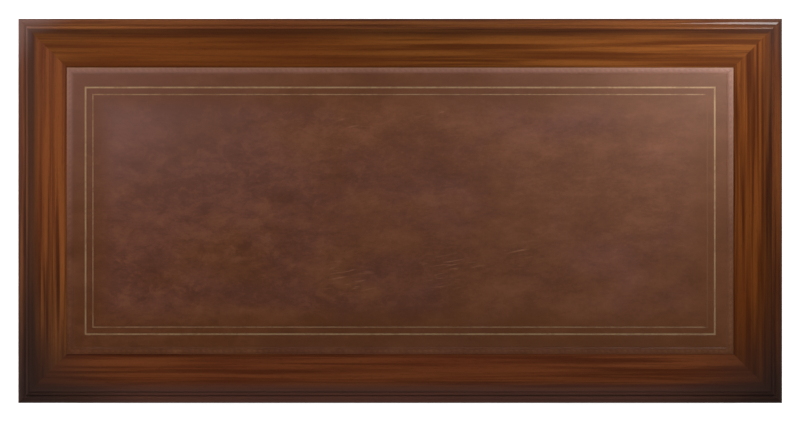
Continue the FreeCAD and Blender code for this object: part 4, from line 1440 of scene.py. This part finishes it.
@dataclass
class Studio:
    """A white floor, soft light from behind the desk and a camera straight above it."""

    lamps: tuple[Lamp, ...] = (
        Lamp("key", (-0.1, 1.5, 2.5), (0.0, 0.1, 0.77), 1.8, 8.0),
        Lamp("right_corner", (0.96, 0.75, 1.4), (0.6, 0.25, 0.77), 0.42, 16.0),
        Lamp("left_corner", (-1.5, 1.1, 1.4), (-0.6, 0.2, 0.77), 1.0, 42.0, False),
        Lamp("front_fill", (-0.9, -3.4, 1.3), (0.0, 0.0, 0.45), 2.2, 75.0, False),
        Lamp("left_fill", (-3.6, 0.4, 1.3), (0.0, 0.0, 0.45), 2.0, 55.0, False),
        Lamp("right_fill", (3.6, -0.4, 1.3), (0.0, 0.0, 0.45), 2.0, 55.0, False),
        Lamp("back_fill", (-0.8, 3.6, 1.3), (0.0, 0.0, 0.45), 2.0, 50.0, False),
    )
    floor_half: float = 30.0
    floor_colour: Colour = (0.8, 0.8, 0.8, 1.0)
    floor_glow: float = 0.83
    far_glow: float = 1.0
    floor_near: float = 1.6
    floor_far: float = 4.0
    floor_shade: Colour = (0.48, 0.48, 0.48, 1.0)
    # A shadow is painted into the floor's glow over the desk's footprint.
    foot_half: Pair = (0.86, 0.42)
    painted_shadow_range: Pair = (-0.05, 0.30)
    painted_shadow_dim: float = 0.50
    backdrop: float = 1.0
    horizon: float = 0.4
    zenith: float = 0.03
    glow_range: Pair = (0.12, 0.55)
    camera_rise: float = 8.0
    outline_height: float = 0.750
    frame_width: float = 1.9175
    sensor: float = 36.0
    camera_shift: Pair = (-0.0004, 0.0007)

    def build(self) -> None:
        """Builds the studio."""
        self.build_world()
        self.build_floor()
        for lamp in self.lamps:
            lamp.build()
        self.build_camera()
        bpy.context.scene.view_settings.view_transform = "Standard"

    def build_world(self) -> None:
        """Lights the room, more round the horizon than overhead, against a white backdrop."""
        world = bpy.data.worlds.new("studio")
        bpy.context.scene.world = world
        world.use_nodes = True
        shader = Shader(world.node_tree)
        height = shader.parts(shader.node("ShaderNodeTexCoord").outputs["Generated"])[2]
        level = self.zenith + (self.horizon - self.zenith) * (1.0 - height.rise(*self.glow_range))
        seen = Field(shader, shader.node("ShaderNodeLightPath").outputs["Is Camera Ray"])
        glow = shader.node("ShaderNodeBackground", None, {"Strength": level + seen * (self.backdrop - level)})
        shader.node("ShaderNodeOutputWorld", None, {"Surface": glow.outputs[0]})

    def build_floor(self) -> None:
        """Lays a pale floor that looks white and keeps the desk's shadow, with a shadow painted into its glow
        under the desk.
        """
        bpy.ops.object.select_all(action="DESELECT")
        bpy.ops.mesh.primitive_plane_add(size=2 * self.floor_half)
        floor = bpy.context.object
        floor.name = "floor"
        material, shader = Shader.of_material("studio_floor")
        rays = shader.node("ShaderNodeLightPath").outputs
        seen = Field(shader, rays["Is Camera Ray"]) + Field(shader, rays["Is Glossy Ray"])
        seen = (seen + Field(shader, rays["Is Transmission Ray"])).least(1.0)
        plain = shader.node("ShaderNodeBsdfDiffuse", None, {"Color": self.floor_colour})
        shade = shader.node("ShaderNodeBsdfDiffuse", None, {"Color": self.floor_shade})
        place = shader.place()
        x, y, _ = shader.parts(place)
        away = shader.node("ShaderNodeVectorMath", {"operation": "LENGTH"}, {0: place}).outputs["Value"]
        far = Field(shader, away).rise(self.floor_near, self.floor_far)
        # Painted shadow: the floor's glow dims under the desk.
        painted_shadow = (self.foot_half[0] - abs(x)).least(self.foot_half[1] - abs(y)).rise(*self.painted_shadow_range)
        level = self.floor_glow + (self.far_glow - self.floor_glow) * far - self.painted_shadow_dim * painted_shadow
        glow = shader.node("ShaderNodeEmission", None, {"Strength": level})
        white = shader.node("ShaderNodeAddShader", None, {0: shade.outputs[0], 1: glow.outputs[0]})
        mixed = shader.node("ShaderNodeMixShader", None, {0: seen, 1: plain.outputs[0], 2: white.outputs[0]})
        shader.node("ShaderNodeOutputMaterial", None, {"Surface": mixed.outputs[0]})
        floor.data.materials.append(material)

    def build_camera(self) -> None:
        """Sets the camera straight above the desk, with the back of the desk at the top of the picture."""
        data = bpy.data.cameras.new("camera")
        data.sensor_width = self.sensor
        data.lens = self.sensor * self.camera_rise / self.frame_width
        camera = bpy.data.objects.new("camera", data)
        bpy.context.scene.collection.objects.link(camera)
        camera.location = (*self.camera_shift, self.outline_height + self.camera_rise)
        bpy.context.scene.camera = camera


# Desk


@dataclass
class Desk:
    """The whole desk: its woodwork, leather and metal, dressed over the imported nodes."""

    nodes: dict[str, bpy.types.Object]
    bars: dict[str, BorderMahogany] = field(default_factory=lambda: {
        # The front bar's outer moulding has the strongest painted haze of reflected light.
        "top_border_front": BorderMahogany(
            "border_front", tint(104, 56, 30), tint(72, 34, 18), tint(82, 37, 21), painted_haze=0.60),
        "top_border_back": BorderMahogany(
            "border_back", tint(99, 56, 23), tint(66, 32, 12), tint(78, 37, 15)),
        # The left bar has a stronger painted haze on its moulding and painted shade in its quirk.
        "top_border_left": BorderMahogany(
            "border_left", tint(120, 69, 33), tint(62, 31, 17), tint(84, 41, 23), painted_haze=0.16,
            gathered=0.45, corner_reach=0.46),
        "top_border_right": BorderMahogany(
            "border_right", tint(98, 52, 20), tint(55, 24, 8), tint(72, 32, 11)),
    })

    def woodwork(self) -> list[Woodwork]:
        """Lists the wooden nodes with their finishes.

        Returns:
            One entry for each wooden node.
        """
        show = Mahogany().material()
        lining = Oak().material()
        rubbed = RubbedMahogany().material()
        woods = [show, lining, rubbed]
        listed: list[Woodwork] = []
        for name in self.nodes:
            if name in self.bars:
                listed.append(Woodwork(name, [self.bars[name].material(), lining, rubbed], arris=0.0))
            elif name == "plinths":
                listed.append(Plinths(name, woods))
            elif name.endswith("_drawer"):
                listed.append(Drawer(name, woods))
            elif name.endswith("_pedestal_frame"):
                listed.append(CaseFrame(name, woods))
            elif name in ("frieze_inner_frame", "top_core_panel"):
                listed.append(CaseFrame(name, woods, arris=0.0))
            elif name.endswith(("_sides", "_door", "frieze_ends", "frieze_face_frame")):
                listed.append(Woodwork(name, woods))
        return listed

    def build(self) -> None:
        """Builds every piece in order."""
        for part in self.woodwork():
            part.build(self.nodes)
        gold = (GoldLeaf().material(), ThinGoldLeaf().material())
        LeatherTop(Hide().material(), RolledHide().material(), gold).build()
        Metalwork(Brass().material(), Steel().material()).dress(self.nodes)


def main() -> None:
    """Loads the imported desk, dresses it and lights it."""
    logging.basicConfig(level=logging.INFO, format="%(name)s: %(message)s")
    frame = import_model()
    Desk(frame["nodes"]).build()
    Studio().build()


if __name__ == "__main__":
    main()
